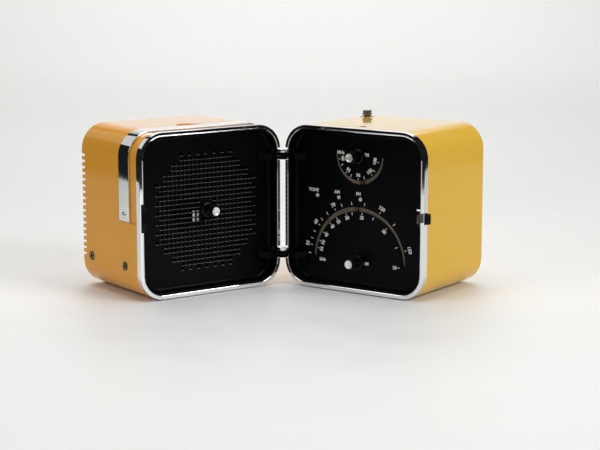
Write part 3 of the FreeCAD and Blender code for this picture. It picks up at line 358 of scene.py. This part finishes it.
def to_object(name, bm):
    """Close a mesh that is being built and put it in the scene."""
    bmesh.ops.recalc_face_normals(bm, faces=bm.faces)
    mesh = bpy.data.meshes.new(name)
    bm.to_mesh(mesh)
    bm.free()
    made = bpy.data.objects.new(name, mesh)
    bpy.context.scene.collection.objects.link(made)
    return made


def settle(item):
    """Apply every modifier."""
    bpy.context.view_layer.update()
    graph = bpy.context.evaluated_depsgraph_get()
    mesh = bpy.data.meshes.new_from_object(item.evaluated_get(graph))
    item.modifiers.clear()
    old = item.data
    item.data = mesh
    bpy.data.meshes.remove(old)
    return item


def carve(item, cutters):
    """Take boxes and turned shapes, drawn into one mesh, out of a piece."""
    tool = to_object(f"{item.name}_tool", cutters)
    cut = item.modifiers.new("carve", "BOOLEAN")
    cut.operation = "DIFFERENCE"
    cut.solver = "EXACT"
    cut.object = tool
    settle(item)
    bpy.data.objects.remove(tool)


def shade(item, angle):
    """Smooth shading led by the large faces, with creases kept above the angle."""
    item.data.polygons.foreach_set("use_smooth", [True] * len(item.data.polygons))
    item.data.set_sharp_from_angle(angle=math.radians(angle))
    weights = item.modifiers.new("shade", "WEIGHTED_NORMAL")
    weights.mode = "FACE_AREA"
    weights.weight = 100
    weights.keep_sharp = True
    settle(item)


def soften(item, width, angle=38, segments=2):
    """Round every edge sharper than the angle."""
    rounding = item.modifiers.new("soften", "BEVEL")
    rounding.width = width
    rounding.segments = segments
    rounding.limit_method = "ANGLE"
    rounding.angle_limit = math.radians(angle)
    rounding.use_clamp_overlap = False
    rounding.miter_outer = "MITER_ARC"
    return settle(item)


def place(item, side, body, material, stands_for=(), smooth=32):
    """Stand a piece drawn in a half's millimetres, shade it, and fix it to its body."""
    item.data.transform(PLACE[side])
    shade(item, smooth)
    item.data.materials.clear()
    item.data.materials.append(material)
    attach(item, body)
    if stands_for:
        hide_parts(*stands_for)


# ---------------------------------------------------------------- trims

def from_hinge_edge(side, first, last):
    """Two distances from a half's hinge edge, as its x values in rising order."""
    return sorted((side * (first - HALF), side * (last - HALF)))


def hinge_cutters(bm, side, first, last, depth):
    """Boxes for the hinge arms, between two distances from a half's hinge edge."""
    near, far = from_hinge_edge(side, first, last)
    below, above = ARM_NOTCH
    for level in ARM_LEVELS:
        block(bm, (near, -1, level + below), (far, depth, level + above))


# The bead's section: how far from the frame's inner edge, and how deep.
BEAD = [(-0.9, 0), (-0.7, -0.08), (-0.5, -0.25), (-0.3, -0.32), (-0.1, -0.25), (0, -0.05), (0, 0.4)]


def trim(name, side, node_name, body, notches):
    """Bright frame: flat narrow face, a fine raised bead beside the dish, deep outer band."""
    bead = [(TRIM_FACE + inset, depth, 0) for inset, depth in BEAD]
    section = rounded_corners([(0, TRIM_DEPTH, 0.25), (0, 0, 0.45), *bead,
                               (TRIM_FACE, TRIM_DEPTH, 0.1)], 3)
    bm = bmesh.new()
    frame_loops(bm, section, closed=True, steps=24)
    item = to_object(name, bm)
    cutters = bmesh.new()
    hinge_cutters(cutters, side, first=-1, last=ARM_REACH, depth=4.0)
    for low, high in notches:
        block(cutters, low, high)
    carve(item, cutters)
    soften(item, width=0.12, angle=50)
    place(item, side, body, CHROME, [node_name])


# Boxes cut for the latch, each from one corner to the other: in the frames, then in the dishes.
KEEPER_NOTCH = ((-64.0, -1, 54.0), (-60.0, 5.5, 76.0))
THUMB_NOTCH = ((59.8, 0.5, 60.2), (67.0, 4.9, 69.2))
HOOK_NOTCH = ((59.4, -1, 57.6), (63.5, 5.4, 72.4))
KEEPER_GAP = ((-64.0, -1, 54.0), (-58.0, 5.2, 76.0))
HOOK_GAP = ((56.6, -1, 56.8), (62.8, 7.7, 73.8))

trim("speaker_trim_frame", LEFT, "speaker_trim", "speaker_half", [KEEPER_NOTCH])
trim("tuner_trim_frame", RIGHT, "tuner_trim", "tuner_half", [THUMB_NOTCH, HOOK_NOTCH])


# ---------------------------------------------------------------- dishes and grille

PANEL_INNER = PANEL_EDGE + PANEL_RIM
DISH = rounded_corners([(PANEL_EDGE + BACK_COVE, PANEL_BACK, 0), (PANEL_EDGE, PANEL_BACK, BACK_COVE),
                        (PANEL_EDGE, PANEL_FRONT, 0.3), (PANEL_INNER, PANEL_FRONT, 0.3),
                        (PANEL_INNER, PANEL_FLOOR, COVE), (PANEL_INNER + COVE, PANEL_FLOOR, 0)], 12)


def has_hole(column, row):
    """The stepped round field of square holes, less the solid patch around the knob."""
    near, far = sorted((abs(column), abs(row)))
    if abs(column) <= 1 and -1 <= row <= 2:
        return False
    if far == GRILLE_ROWS // 2:
        return near <= 6 and near % 2 == 0
    return near <= ROW_LIMITS.get(far, far)


def pierced_floor(bm, front_loop, back_loop):
    """A floor with a square grid of square holes, each with a softened mouth."""
    reach = GRILLE_ROWS // 2
    corners = {}

    def corner(column, row, depth):
        key = (column, row, depth)
        if key not in corners:
            x = (column - 0.5) * HOLE_PITCH
            z = GRILLE_HEIGHT + (row - 0.5) * HOLE_PITCH
            corners[key] = bm.verts.new((x, depth, z))
        return corners[key]

    def square(column, row, side, depth):
        x = column * HOLE_PITCH
        z = GRILLE_HEIGHT + row * HOLE_PITCH
        return [bm.verts.new((x + a * side / 2, depth, z + b * side / 2))
                for a, b in ((-1, -1), (1, -1), (1, 1), (-1, 1))]

    for column in range(-reach, reach + 1):
        for row in range(-reach, reach + 1):
            around = [[corner(column + a, row + b, depth)
                       for a, b in ((0, 0), (1, 0), (1, 1), (0, 1))]
                      for depth in (PANEL_FLOOR, PANEL_BACK)]
            if not has_hole(column, row):
                bm.faces.new(around[0])
                bm.faces.new(around[1])
                continue
            rings = [around[0],
                     square(column, row, HOLE_SIDE + MOUTH_FLARE, PANEL_FLOOR),
                     square(column, row, HOLE_SIDE + MOUTH_STEP, PANEL_FLOOR + MOUTH_STEP_DEPTH),
                     square(column, row, HOLE_SIDE, PANEL_FLOOR + MOUTH_DEPTH),
                     square(column, row, HOLE_SIDE, PANEL_BACK),
                     around[1]]
            for first, second in zip(rings, rings[1:]):
                join_loops(bm, first, second)

    for depth, loop in ((PANEL_FLOOR, front_loop), (PANEL_BACK, back_loop)):
        border = [edge for key, vert in corners.items() if key[2] == depth
                  for edge in vert.link_edges if edge.is_boundary]
        rim = [edge for vert in loop for edge in vert.link_edges if edge.is_boundary]
        edges = list(dict.fromkeys(border + rim))
        bmesh.ops.triangle_fill(bm, edges=edges, use_beauty=True, use_dissolve=False)


def plain_floor(bm, front_loop, back_loop):
    """A floor with nothing cut in it yet."""
    bm.faces.new(front_loop)
    bm.faces.new(back_loop)


def dish(name, side, body, floor, cutters, stands_for):
    """A black dish with a thin rim and a wide coved edge; the upward-facing lips of its holes are painted
    a paler grey, a painted highlight.
    """
    bm = bmesh.new()
    loops = frame_loops(bm, DISH, closed=False, steps=16)
    floor(bm, loops[-1], loops[0])
    item = to_object(name, bm)
    hinge_cutters(cutters, side, first=2.2, last=7.2, depth=4.0)
    carve(item, cutters)
    shallow = PANEL_FLOOR + MOUTH_MARGIN
    deep = PANEL_FLOOR + MOUTH_DEPTH - MOUTH_MARGIN
    # The upward-facing lip faces, which take the grey painted highlight.
    highlighted_lips = [face.index for face in item.data.polygons
              if face.normal.z > 0.5 and shallow < face.center.y < deep]
    place(item, side, body, BLACK, stands_for, smooth=28)
    item.data.materials.append(LIP_PAINTED_HIGHLIGHT)
    for index in highlighted_lips:
        item.data.polygons[index].material_index = 1


def arc_window(bm, radii, height, upper):
    """Half a ring cut right through a dish floor, square at both ends."""
    outer, inner = radii
    low = PANEL_FLOOR - 1
    high = PANEL_BACK + 1
    sections = []
    for step in range(WINDOW_STEPS + 1):
        turn = math.pi * step / WINDOW_STEPS + (0 if upper else math.pi)
        direction = Vector((math.cos(turn), 0, math.sin(turn)))
        sections.append([bm.verts.new(Vector((0, depth, height)) + direction * radius)
                         for radius, depth in ((inner, low), (outer, low), (outer, high), (inner, high))])
    for first, second in zip(sections, sections[1:]):
        join_loops(bm, first, second)
    bm.faces.new(sections[0])
    bm.faces.new(sections[-1])


keeper_gap = bmesh.new()
block(keeper_gap, *KEEPER_GAP)
dish("speaker_dish", LEFT, "speaker_half", pierced_floor, keeper_gap,
     ["speaker_panel", "speaker_grille"])

windows = bmesh.new()
arc_window(windows, FM_WINDOW, FM_HEIGHT, False)
arc_window(windows, AM_WINDOW, AM_HEIGHT, True)
button_hole = [(0, 0), (BUTTON_HOLE, 0), (BUTTON_HOLE, 5), (0, 5)]
for spot in BUTTON_SPOTS:
    lathe(windows, button_hole, 32,
          Matrix.Translation((spot, PANEL_BACK + 1.5, BUTTON_HEIGHT)) @ TO_FRONT)
block(windows, *HOOK_GAP)
dish("dial_dish", RIGHT, "tuner_half", plain_floor, windows, ["dial_panel"])


# ---------------------------------------------------------------- shells and other softened pieces

def softened(node_name, material, slot, width, body):
    """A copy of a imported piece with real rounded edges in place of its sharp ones."""
    bm = bmesh.new()
    bm.from_mesh(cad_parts[node_name].data)
    bmesh.ops.remove_doubles(bm, verts=bm.verts, dist=SAME_POINT)
    bmesh.ops.dissolve_limit(bm, angle_limit=math.radians(FLAT_ANGLE), verts=bm.verts, edges=bm.edges)
    item = to_object(f"{node_name}_soft", bm)
    soften(item, width * TO_METRES)
    shade(item, 35)
    item.data.materials.clear()
    item.data.materials.append(material)
    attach(item, body)
    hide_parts(node_name)


# Node, finish, slot, width of the rounded edge in millimetres, body.
SOFTENED = [
    # The speaker half's shell and battery door take the painted-shade copy of the yellow.
    ("speaker_shell", SHADED_YELLOW, "yellow_plastic", 0.35, "speaker_half"),
    ("battery_door", SHADED_YELLOW, "yellow_plastic", 0.35, "back_door"),
    ("tuner_shell", YELLOW, "yellow_plastic", 0.35, "tuner_half"),
    ("carrying_handle", STRIP, "bright_strip", 0.25, "handle"),
    ("upper_fixed_arm", BLACK, "black_metal", 0.3, "speaker_half"),
    ("lower_fixed_arm", BLACK, "black_metal", 0.3, "speaker_half"),
    ("upper_swing_arm", BLACK, "black_metal", 0.3, "tuner_half"),
    ("lower_swing_arm", BLACK, "black_metal", 0.3, "tuner_half"),
    ("hinge_pins", CHROME, "chrome_part", 0.35, "speaker_half"),
    ("latch_keeper", BLACK_METAL, "black_metal", 0.25, "speaker_half"),
    ("speaker_feet", RUBBER, "rubber_dark", 0.2, "speaker_half"),
    ("tuner_feet", RUBBER, "rubber_dark", 0.2, "tuner_half"),
]
for entry in SOFTENED:
    softened(*entry)


# ---------------------------------------------------------------- sockets, screws, printed scales

def turned(name, profile, side, body, material, matrix, stands_for=(), steps=48):
    """A turned piece, from the (radius, height) points of its section."""
    bm = bmesh.new()
    lathe(bm, profile, steps, matrix)
    place(to_object(name, bm), side, body, material, stands_for)


def socket(name, depth, node_name):
    """A socket set in the side: a dark bezel round a plated tube."""
    spot = Matrix.Translation((-HALF, depth, SOCKET_HEIGHT)) @ TO_OUTER
    bezel = rounded_corners([(2.5, -2.2, 0), (2.8, -2.2, 0), (2.8, 0.0, 0), (3.4, 0.0, 0.1),
                             (3.4, 0.7, 0.3), (2.8, 0.8, 0.2), (2.65, 0.3, 0.1), (2.5, 0.3, 0)], 4)
    turned(f"{name}_bezel", bezel + bezel[:1], LEFT, "speaker_half", CONTROL, spot,
           [node_name])
    tube = rounded_corners([(1.8, -8.5, 0), (2.5, -8.5, 0), (2.5, 0.6, 0.25), (1.8, 0.6, 0.25)], 4)
    turned(f"{name}_tube", tube + tube[:1], LEFT, "speaker_half", STEEL, spot)


socket("earphone_socket", 24.0, "earphone_jack")
socket("power_socket", 77.5, "power_jack")


def screw_head(name, side, spot, turn, radius, height, body, stands_for, slot_turn,
               material=CHROME):
    """A domed screw head with a straight slot."""
    bm = bmesh.new()
    dome = [(0, height), (radius * 0.55, height * 0.94), (radius * 0.85, height * 0.70),
            (radius, height * 0.30), (radius, -0.4), (0, -0.4)]
    lathe(bm, dome, 40)
    item = to_object(name, bm)
    cutters = bmesh.new()
    half_slot = radius * 0.13
    slot_verts = block(cutters, (-radius - 1, -half_slot, height * 0.45),
                       (radius + 1, half_slot, height + 1))
    bmesh.ops.rotate(cutters, verts=slot_verts, cent=(0, 0, 0),
                     matrix=Matrix.Rotation(slot_turn, 3, "Z"))
    carve(item, cutters)
    soften(item, width=radius * 0.03, angle=50)
    item.data.transform(Matrix.Translation(spot) @ turn)
    place(item, side, body, material, stands_for)


screw_head("strip_screw_outer", LEFT, (-HALF, STRIP_DEPTH, HALF), TO_OUTER, radius=2.7, height=0.8,
           body="handle", stands_for=["handle_screws"], slot_turn=0.5)
screw_head("strip_screw_inner", LEFT, (HALF, STRIP_DEPTH, HALF), TO_INNER, radius=2.7, height=0.8,
           body="handle", stands_for=[], slot_turn=1.1)
screw_head("top_plug_head", RIGHT, (*PLUG_SPOT, CUBE - 0.15), Matrix(), radius=2.8, height=0.3,
           body="tuner_half", stands_for=["top_plug"], slot_turn=0.4, material=RUBBER)


def knob(word, side, level, body):
    """A stepped turning knob with a collar, and the pale dished disc in its end."""
    spot = Matrix.Translation((0, 0, level)) @ TO_FRONT
    grip = rounded_corners([(0, 5.45, 0), (3.45, 5.45, 0), (3.45, 6.0, 0.12), (4.2, 6.0, 0.45),
                            (4.2, 3.4, 0.2), (4.7, 3.1, 0.25), (4.7, -5.4, 0.5), (6.0, -5.6, 0.5),
                            (6.0, -8.2, 0.1), (1.6, -8.2, 0), (1.6, -15.0, 0), (0, -15.0, 0)], 5)
    turned(f"{word}_grip", grip, side, body, CONTROL, spot, [f"{word}_knob"])
    disc = rounded_corners([(0, 5.72, 0), (2.2, 5.78, 0.8), (2.75, 5.97, 0.3), (3.38, 5.97, 0.2),
                            (3.38, 5.46, 0), (0, 5.46, 0)], 5)
    turned(f"{word}_disc", disc, side, body, CAP, spot, [f"{word}_knob_cap"])


knob("volume", LEFT, GRILLE_HEIGHT, "volume")
knob("fm", RIGHT, FM_HEIGHT, "fm_tuning")
knob("am", RIGHT, AM_HEIGHT, "am_tuning")


def push_button(word, x):
    """A black push button with a small pale dot in its end."""
    spot = Matrix.Translation((x, 0, BUTTON_HEIGHT)) @ TO_FRONT
    stem = rounded_corners([(0, -6.5, 0), (1.65, -6.5, 0), (1.65, -6.3, 0.05), (2.2, -6.3, 0.35),
                            (2.2, -10.5, 0.1), (3.2, -10.6, 0.1), (3.2, -11.4, 0.1), (0, -11.4, 0)], 4)
    turned(f"{word}_stem", stem, RIGHT, f"{word}_key", CONTROL, spot,
           [f"{word}_button"])
    dot = rounded_corners([(0, -6.18, 0), (1.2, -6.24, 0.4), (1.62, -6.48, 0)], 4)
    turned(f"{word}_dot", dot, RIGHT, f"{word}_key", PALE, spot)


for word, x in zip(("tone", "am", "fm"), BUTTON_SPOTS):
    push_button(word, x)


def latch_block(name, low, high, width, material, stands_for=(), ribs=None):
    """One block of the latch; its corners are measured from the hook's outer face and middle."""
    bm = bmesh.new()
    near, far = [(HOOK_OUTER + x, y, LATCH_HEIGHT + z) for x, y, z in (low, high)]
    block(bm, near, far)
    item = to_object(name, bm)
    if ribs:
        carve(item, ribs)
    soften(item, width, angle=50, segments=3)
    place(item, RIGHT, "latch", material, stands_for)


def latch():
    """The ribbed thumb button outside the frame, and the dark hook with its bright bent tab."""
    ribs = bmesh.new()
    for step in range(4):
        level = LATCH_HEIGHT - 2.7 + step * 1.6
        block(ribs, (HALF + 3.1, 0, level), (HALF + 4, 5, level + 0.6))
    latch_block("latch_thumb", (-3.4, 0.9, -4.4), (5.2, 4.5, 3.8), 0.5, CONTROL,
                ["latch_slide"], ribs)
    latch_block("latch_hook", (-3.4, 0.6, -7), (0, 5.0, 5.2), 0.5, DARK_METAL)
    latch_block("latch_tongue", (-2.2, -4.4, -3.5), (-0.6, 1.8, 3.5), 0.3, DARK_METAL)
    latch_block("latch_barb", (-0.8, -4.4, -3.5), (-0.1, -3.2, 3.5), 0.3, DARK_METAL)
    latch_block("latch_tab", (-5.8, 1.2, 5.3), (-0.3, 2.4, 6.9), 0.25, CHROME)


latch()


def aerial_tip():
    """The stepped tip of the aerial, two rings over a narrow foot, and the bright ring it sits in."""
    spot = Matrix.Translation((*AERIAL_SPOT, CUBE + 0.3))
    profile = rounded_corners([(0, 5.2, 0), (1.6, 5.2, 0.4), (3.7, 5.0, 0.4), (3.7, 3.5, 0.3),
                               (2.9, 3.3, 0.1), (2.9, 2.9, 0.1), (4.2, 2.7, 0.4), (4.2, 1.5, 0.4),
                               (2.9, 1.3, 0.1), (2.9, 0.0, 0.2), (0.95, 0.0, 0)], 6)
    turned("aerial_tip_rings", profile, RIGHT, "aerial_upper", NICKEL, spot,
           ["aerial_tip"], 64)
    seat = rounded_corners([(4.9, 0.0, 0), (6.2, 0.0, 0.05), (6.2, -0.7, 0), (4.9, -0.7, 0)], 3)
    turned("aerial_seat_ring", seat + seat[:1], RIGHT, "tuner_half", CHROME, spot)


aerial_tip()


def hinge_black_band(name, side, body):
    """A thin black band over the outer edge of a trim, on its hinge side."""
    bm = bmesh.new()
    frame_loops(bm, [(0.05, 0.9), (-0.15, 1.0), (-0.15, 5.1), (0.05, 5.2)], closed=True, steps=24)
    item = to_object(name, bm)
    cutters = bmesh.new()
    hinge_cutters(cutters, side, first=-1, last=ARM_REACH, depth=6.0)
    near, far = from_hinge_edge(side, BLACK_BAND_REACH, CUBE + 5)
    block(cutters, (near, -1, -5), (far, 7, CUBE + 5))
    carve(item, cutters)
    place(item, side, body, BLACK_METAL)


def hinge_liner(name, side, body):
    """Black strips at the back of the notches that the hinge arms lie in."""
    bm = bmesh.new()
    near, far = from_hinge_edge(side, 0.1, ARM_REACH - 0.1)
    below, above = ARM_NOTCH
    for level in ARM_LEVELS:
        block(bm, (near, 3.8, level + below + 0.1), (far, 4.3, level + above - 0.1))
    item = soften(to_object(name, bm), width=0.1, angle=50)
    place(item, side, body, BLACK_METAL)


hinge_black_band("speaker_hinge_seal", LEFT, "speaker_half")
hinge_black_band("tuner_hinge_seal", RIGHT, "tuner_half")
hinge_liner("speaker_hinge_liner", LEFT, "speaker_half")
hinge_liner("tuner_hinge_liner", RIGHT, "tuner_half")


def bracket_tag():
    """A small bright tag of the volume control's bracket, seen through the grille holes."""
    bm = bmesh.new()
    block(bm, (-13.0, PANEL_BACK - 0.8, 56.0), (-5.0, PANEL_BACK + 0.6, 65.0))
    block(bm, (-13.0, PANEL_BACK + 0.5, 63.6), (-5.0, PANEL_BACK + 2.6, 65.0))
    item = soften(to_object("bracket_tag", bm), width=0.12, angle=50)
    place(item, LEFT, "speaker_half", ZINC)


bracket_tag()


def add_text(bm, words, x, z, height, turn=0.0):
    """Print words, centred on a spot of the dial floor; turn is clockwise in radians."""
    curve = bpy.data.curves.new("words", "FONT")
    curve.body = words
    curve.size = height * SIZE_PER_HEIGHT
    curve.align_x = "CENTER"
    curve.align_y = "CENTER"
    curve.extrude = PRINT_THICKNESS
    curve.offset = STROKE_GAIN
    curve.resolution_u = 3
    made = bpy.data.objects.new("words", curve)
    bpy.context.scene.collection.objects.link(made)
    bpy.context.view_layer.update()
    graph = bpy.context.evaluated_depsgraph_get()
    mesh = bpy.data.meshes.new_from_object(made.evaluated_get(graph))
    spot = Matrix.Translation((x, PANEL_FLOOR - PRINT_THICKNESS, z))
    mesh.transform(spot @ TO_FRONT @ Matrix.Rotation(-turn, 4, "Z"))
    bm.from_mesh(mesh)
    bpy.data.meshes.remove(mesh)
    bpy.data.objects.remove(made)
    bpy.data.curves.remove(curve)


def add_tick(bm, x, z, turn, length):
    """Print a short stroke on the dial floor, upright before it is turned."""
    reach = TICK_WIDTH / 2
    made = block(bm, (-reach, -2 * PRINT_THICKNESS, -length / 2), (reach, PRINT_THICKNESS, length / 2))
    matrix = Matrix.Translation((x, PANEL_FLOOR, z)) @ Matrix.Rotation(turn, 4, "Y")
    bmesh.ops.transform(bm, matrix=matrix, verts=made)


def around(height, degrees, radius):
    """A spot at an angle, clockwise from straight up, about a dial's centre, and its turn."""
    turn = math.radians(degrees)
    return radius * math.sin(turn), height + radius * math.cos(turn), turn


def ring_of_ticks(bm, height, radius, length, angles):
    """Strokes of one length round a dial's centre."""
    for degrees in angles:
        x, z, turn = around(height, degrees, radius)
        add_tick(bm, x, z, turn, length)


def ring_of_numbers(bm, height, radius, size, numbers, half_turn=0.0):
    """Numbers round a dial's centre; half_turn sets them upright below it."""
    for words, degrees in numbers.items():
        x, z, turn = around(height, degrees, radius)
        add_text(bm, words, x, z, size, turn + half_turn)


AM_NUMBERS = {"55": -78, "60": -55, "70": -29, "120": 26, "150": 73}
AM_INNER_NUMBERS = {"56": -79, "50": -70, "45": -58.5, "40": -43.5, "35": -32, "30": -17.5, "25": 5,
                    "20": 42}
AM_LONG_TICKS = (-87, -71.5, -64, -48.5, -39.5, -20, -8, 7, 45)
AM_INNER_LONG_TICKS = (-9, 21, 67)
FM_NUMBERS = {"88": 259, "92": 220, "96": 181.5, "102": 139, "108": 102}
FM_LONG_TICKS = (243, 204.5, 163.5, 127)
KEY_WORDS = (("TONE", -42.8), ("AM", -20.3), ("FM", -0.2))


def dial_print():
    """The white printing: scale numbers and ticks, units, and the names of the keys."""
    bm = bmesh.new()
    ring_of_numbers(bm, AM_HEIGHT, radius=49.4, size=2.9, numbers=AM_NUMBERS)
    ring_of_ticks(bm, AM_HEIGHT, radius=46.6, length=2.6, angles=AM_LONG_TICKS)
    ring_of_ticks(bm, AM_HEIGHT, radius=45.6, length=1.6, angles=AM_NUMBERS.values())
    ring_of_numbers(bm, AM_HEIGHT, radius=35.6, size=NUMBER_HEIGHT, numbers=AM_INNER_NUMBERS)
    ring_of_ticks(bm, AM_HEIGHT, radius=38.7, length=1.6, angles=AM_INNER_NUMBERS.values())
    add_text(bm, "18", 33.6, 22.2, NUMBER_HEIGHT)
    add_tick(bm, 37.4, 22.6, QUARTER_TURN, 2.0)
    ring_of_ticks(bm, AM_HEIGHT, radius=38.3, length=2.4, angles=AM_INNER_LONG_TICKS)
    ring_of_numbers(bm, FM_HEIGHT, radius=15.3, size=NUMBER_HEIGHT, numbers=FM_NUMBERS,
                    half_turn=math.pi)
    ring_of_ticks(bm, FM_HEIGHT, radius=18.3, length=1.4, angles=FM_NUMBERS.values())
    ring_of_ticks(bm, FM_HEIGHT, radius=17.6, length=2.4, angles=FM_LONG_TICKS)
    add_text(bm, "MHz", -17.0, 109.2, UNIT_HEIGHT)
    add_text(bm, "FM", 7.0, 108.8, NUMBER_HEIGHT)
    add_text(bm, "kHz", -34.0, 21.6, UNIT_HEIGHT)
    add_text(bm, "AM", 7.0, 22.4, NUMBER_HEIGHT)
    for words, x in KEY_WORDS:
        add_text(bm, words, x, 77.4, UNIT_HEIGHT)
    item = to_object("dial_print", bm)
    place(item, RIGHT, "tuner_half", PRINT)


dial_print()


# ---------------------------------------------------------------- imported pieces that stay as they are

STAYING = {
    "speaker_basket": SATIN_BLACK,
    "speaker_cone": PAPER,
    "speaker_magnet": FERRITE,
    "volume_bracket": DARK_METAL,
    "volume_control": STEEL,
    "handle_guides": STEEL,
    "battery_tray": SATIN_BLACK,
    "battery_cells": CELL,
    "battery_contacts": STEEL,
    "speaker_case_screws": STEEL,
    "tuner_case_screws": STEEL,
    "dial_strips": CREAM,
    "fm_pointer": RED,
    "am_pointer": RED,
    "fm_tuning_capacitor": CAN,
    "am_tuning_capacitor": CAN,
    "circuit_board": BOARD,
    "if_transformers": CAN,
    "electrolytic_capacitors": DRUM,
    "transistors": CAN,
    "selector_switch": STEEL,
    "ferrite_rod": FERRITE,
    "aerial_coils": COPPER,
    "aerial_sleeve": SATIN_BLACK,
    "aerial_section_1": CHROME,
    "aerial_section_2": CHROME,
    "aerial_section_3": CHROME,
}
for node_name, material in STAYING.items():
    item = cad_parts[node_name]
    item.data.materials.clear()
    item.data.materials.append(material)


# ---------------------------------------------------------------- floor, light, camera

# The studio is in metres. Each row of the floor: depth, reach to the left, reach to the right.
FLOOR_ROWS = [(-0.95, 0.30, 0.30), (-0.52, 0.36, 0.36), (-0.35, 0.40, 0.40), (0.12, 0.66, 0.76),
              (0.50, 0.85, 0.90), (0.90, 0.95, 1.00), (1.85, 1.30, 1.30)]
SWEEP = 0.5
SWEEP_STEPS = 16
WALL_TOP = 1.7


def sweep_floor():
    """A pale floor, narrow in front, that curves up to a wall far behind."""
    bm = bmesh.new()
    section = [(y, 0.0, left, right) for y, left, right in FLOOR_ROWS]
    foot, left, right = FLOOR_ROWS[-1]
    for step in range(1, SWEEP_STEPS + 1):
        turn = step / SWEEP_STEPS * QUARTER_TURN
        section.append((foot + SWEEP * math.sin(turn), SWEEP - SWEEP * math.cos(turn), left, right))
    section.append((foot + SWEEP, WALL_TOP, left, right))
    rows = [[bm.verts.new((x, y, z)) for x in (-left, right)] for y, z, left, right in section]
    for first, second in zip(rows, rows[1:]):
        bm.faces.new((first[0], first[1], second[1], second[0]))
    mesh = bpy.data.meshes.new("floor")
    bm.to_mesh(mesh)
    bm.free()
    mesh.polygons.foreach_set("use_smooth", [True] * len(mesh.polygons))
    made = bpy.data.objects.new("floor", mesh)
    bpy.context.scene.collection.objects.link(made)
    made.data.materials.append(PALE_FLOOR)


def soft_light(name, spot, aim, size, power, spread):
    """A rectangular lamp at a spot, aimed at another; power in watts, spread in degrees."""
    light = bpy.data.lights.new(name, "AREA")
    light.spread = math.radians(spread)
    light.shape = "RECTANGLE"
    light.size, light.size_y = size
    light.energy = power
    made = bpy.data.objects.new(name, light)
    made.location = spot
    made.rotation_euler = (Vector(aim) - Vector(spot)).to_track_quat("-Z", "Y").to_euler()
    bpy.context.scene.collection.objects.link(made)


LIGHTS = [
    ("overhead", (0.0, 0.05, 1.35), (0.0, 0.0, 0.0), (1.3, 1.2), 11.2, 180),
    ("rear_bank", (0.0, 1.5, 1.35), (0.0, 0.0, 0.05), (1.4, 0.8), 1.8, 80),
    ("backdrop", (0.0, 1.0, 1.9), (0.0, 2.35, 0.45), (2.2, 0.5), 16.5, 120),
    ("left_rear_bank", (-1.15, 0.75, 0.95), (0.0, 0.0, 0.1), (0.9, 0.7), 1.4, 180),
    ("right_bank", (1.3, -0.9, 0.9), (0.0, 0.0, 0.05), (0.9, 0.8), 15.5, 180),
    ("left_bank", (-1.3, -0.9, 0.9), (0.0, 0.0, 0.05), (0.9, 0.8), 6.6, 180),
]
WORLD_COLOUR = (0.95, 0.97, 1.0, 1)
WORLD_STRENGTH = 0.012

sweep_floor()
for entry in LIGHTS:
    soft_light(*entry)

world = bpy.data.worlds.new("studio")
world.use_nodes = True
backdrop = world.node_tree.nodes["Background"]
backdrop.inputs["Color"].default_value = WORLD_COLOUR
backdrop.inputs["Strength"].default_value = WORLD_STRENGTH
bpy.context.scene.world = world
bpy.context.scene.view_settings.view_transform = "Standard"

# The camera's spot is in millimetres, like the object; its turns are in degrees.
LENS = 98.91
SENSOR_WIDTH = 36
CAMERA_SPOT = (9.4, HINGE_LINE_BACK - 1311.29, 274.77)
CAMERA_DOWN = 9.80
CAMERA_TO_RIGHT = 0.195

camera = bpy.data.cameras.new("camera")
camera.lens = LENS
camera.sensor_width = SENSOR_WIDTH
viewer = bpy.data.objects.new("camera", camera)
viewer.location = Vector(CAMERA_SPOT) * TO_METRES
viewer.rotation_euler = (math.radians(90 - CAMERA_DOWN), 0, math.radians(-CAMERA_TO_RIGHT))
bpy.context.scene.collection.objects.link(viewer)
bpy.context.scene.camera = viewer
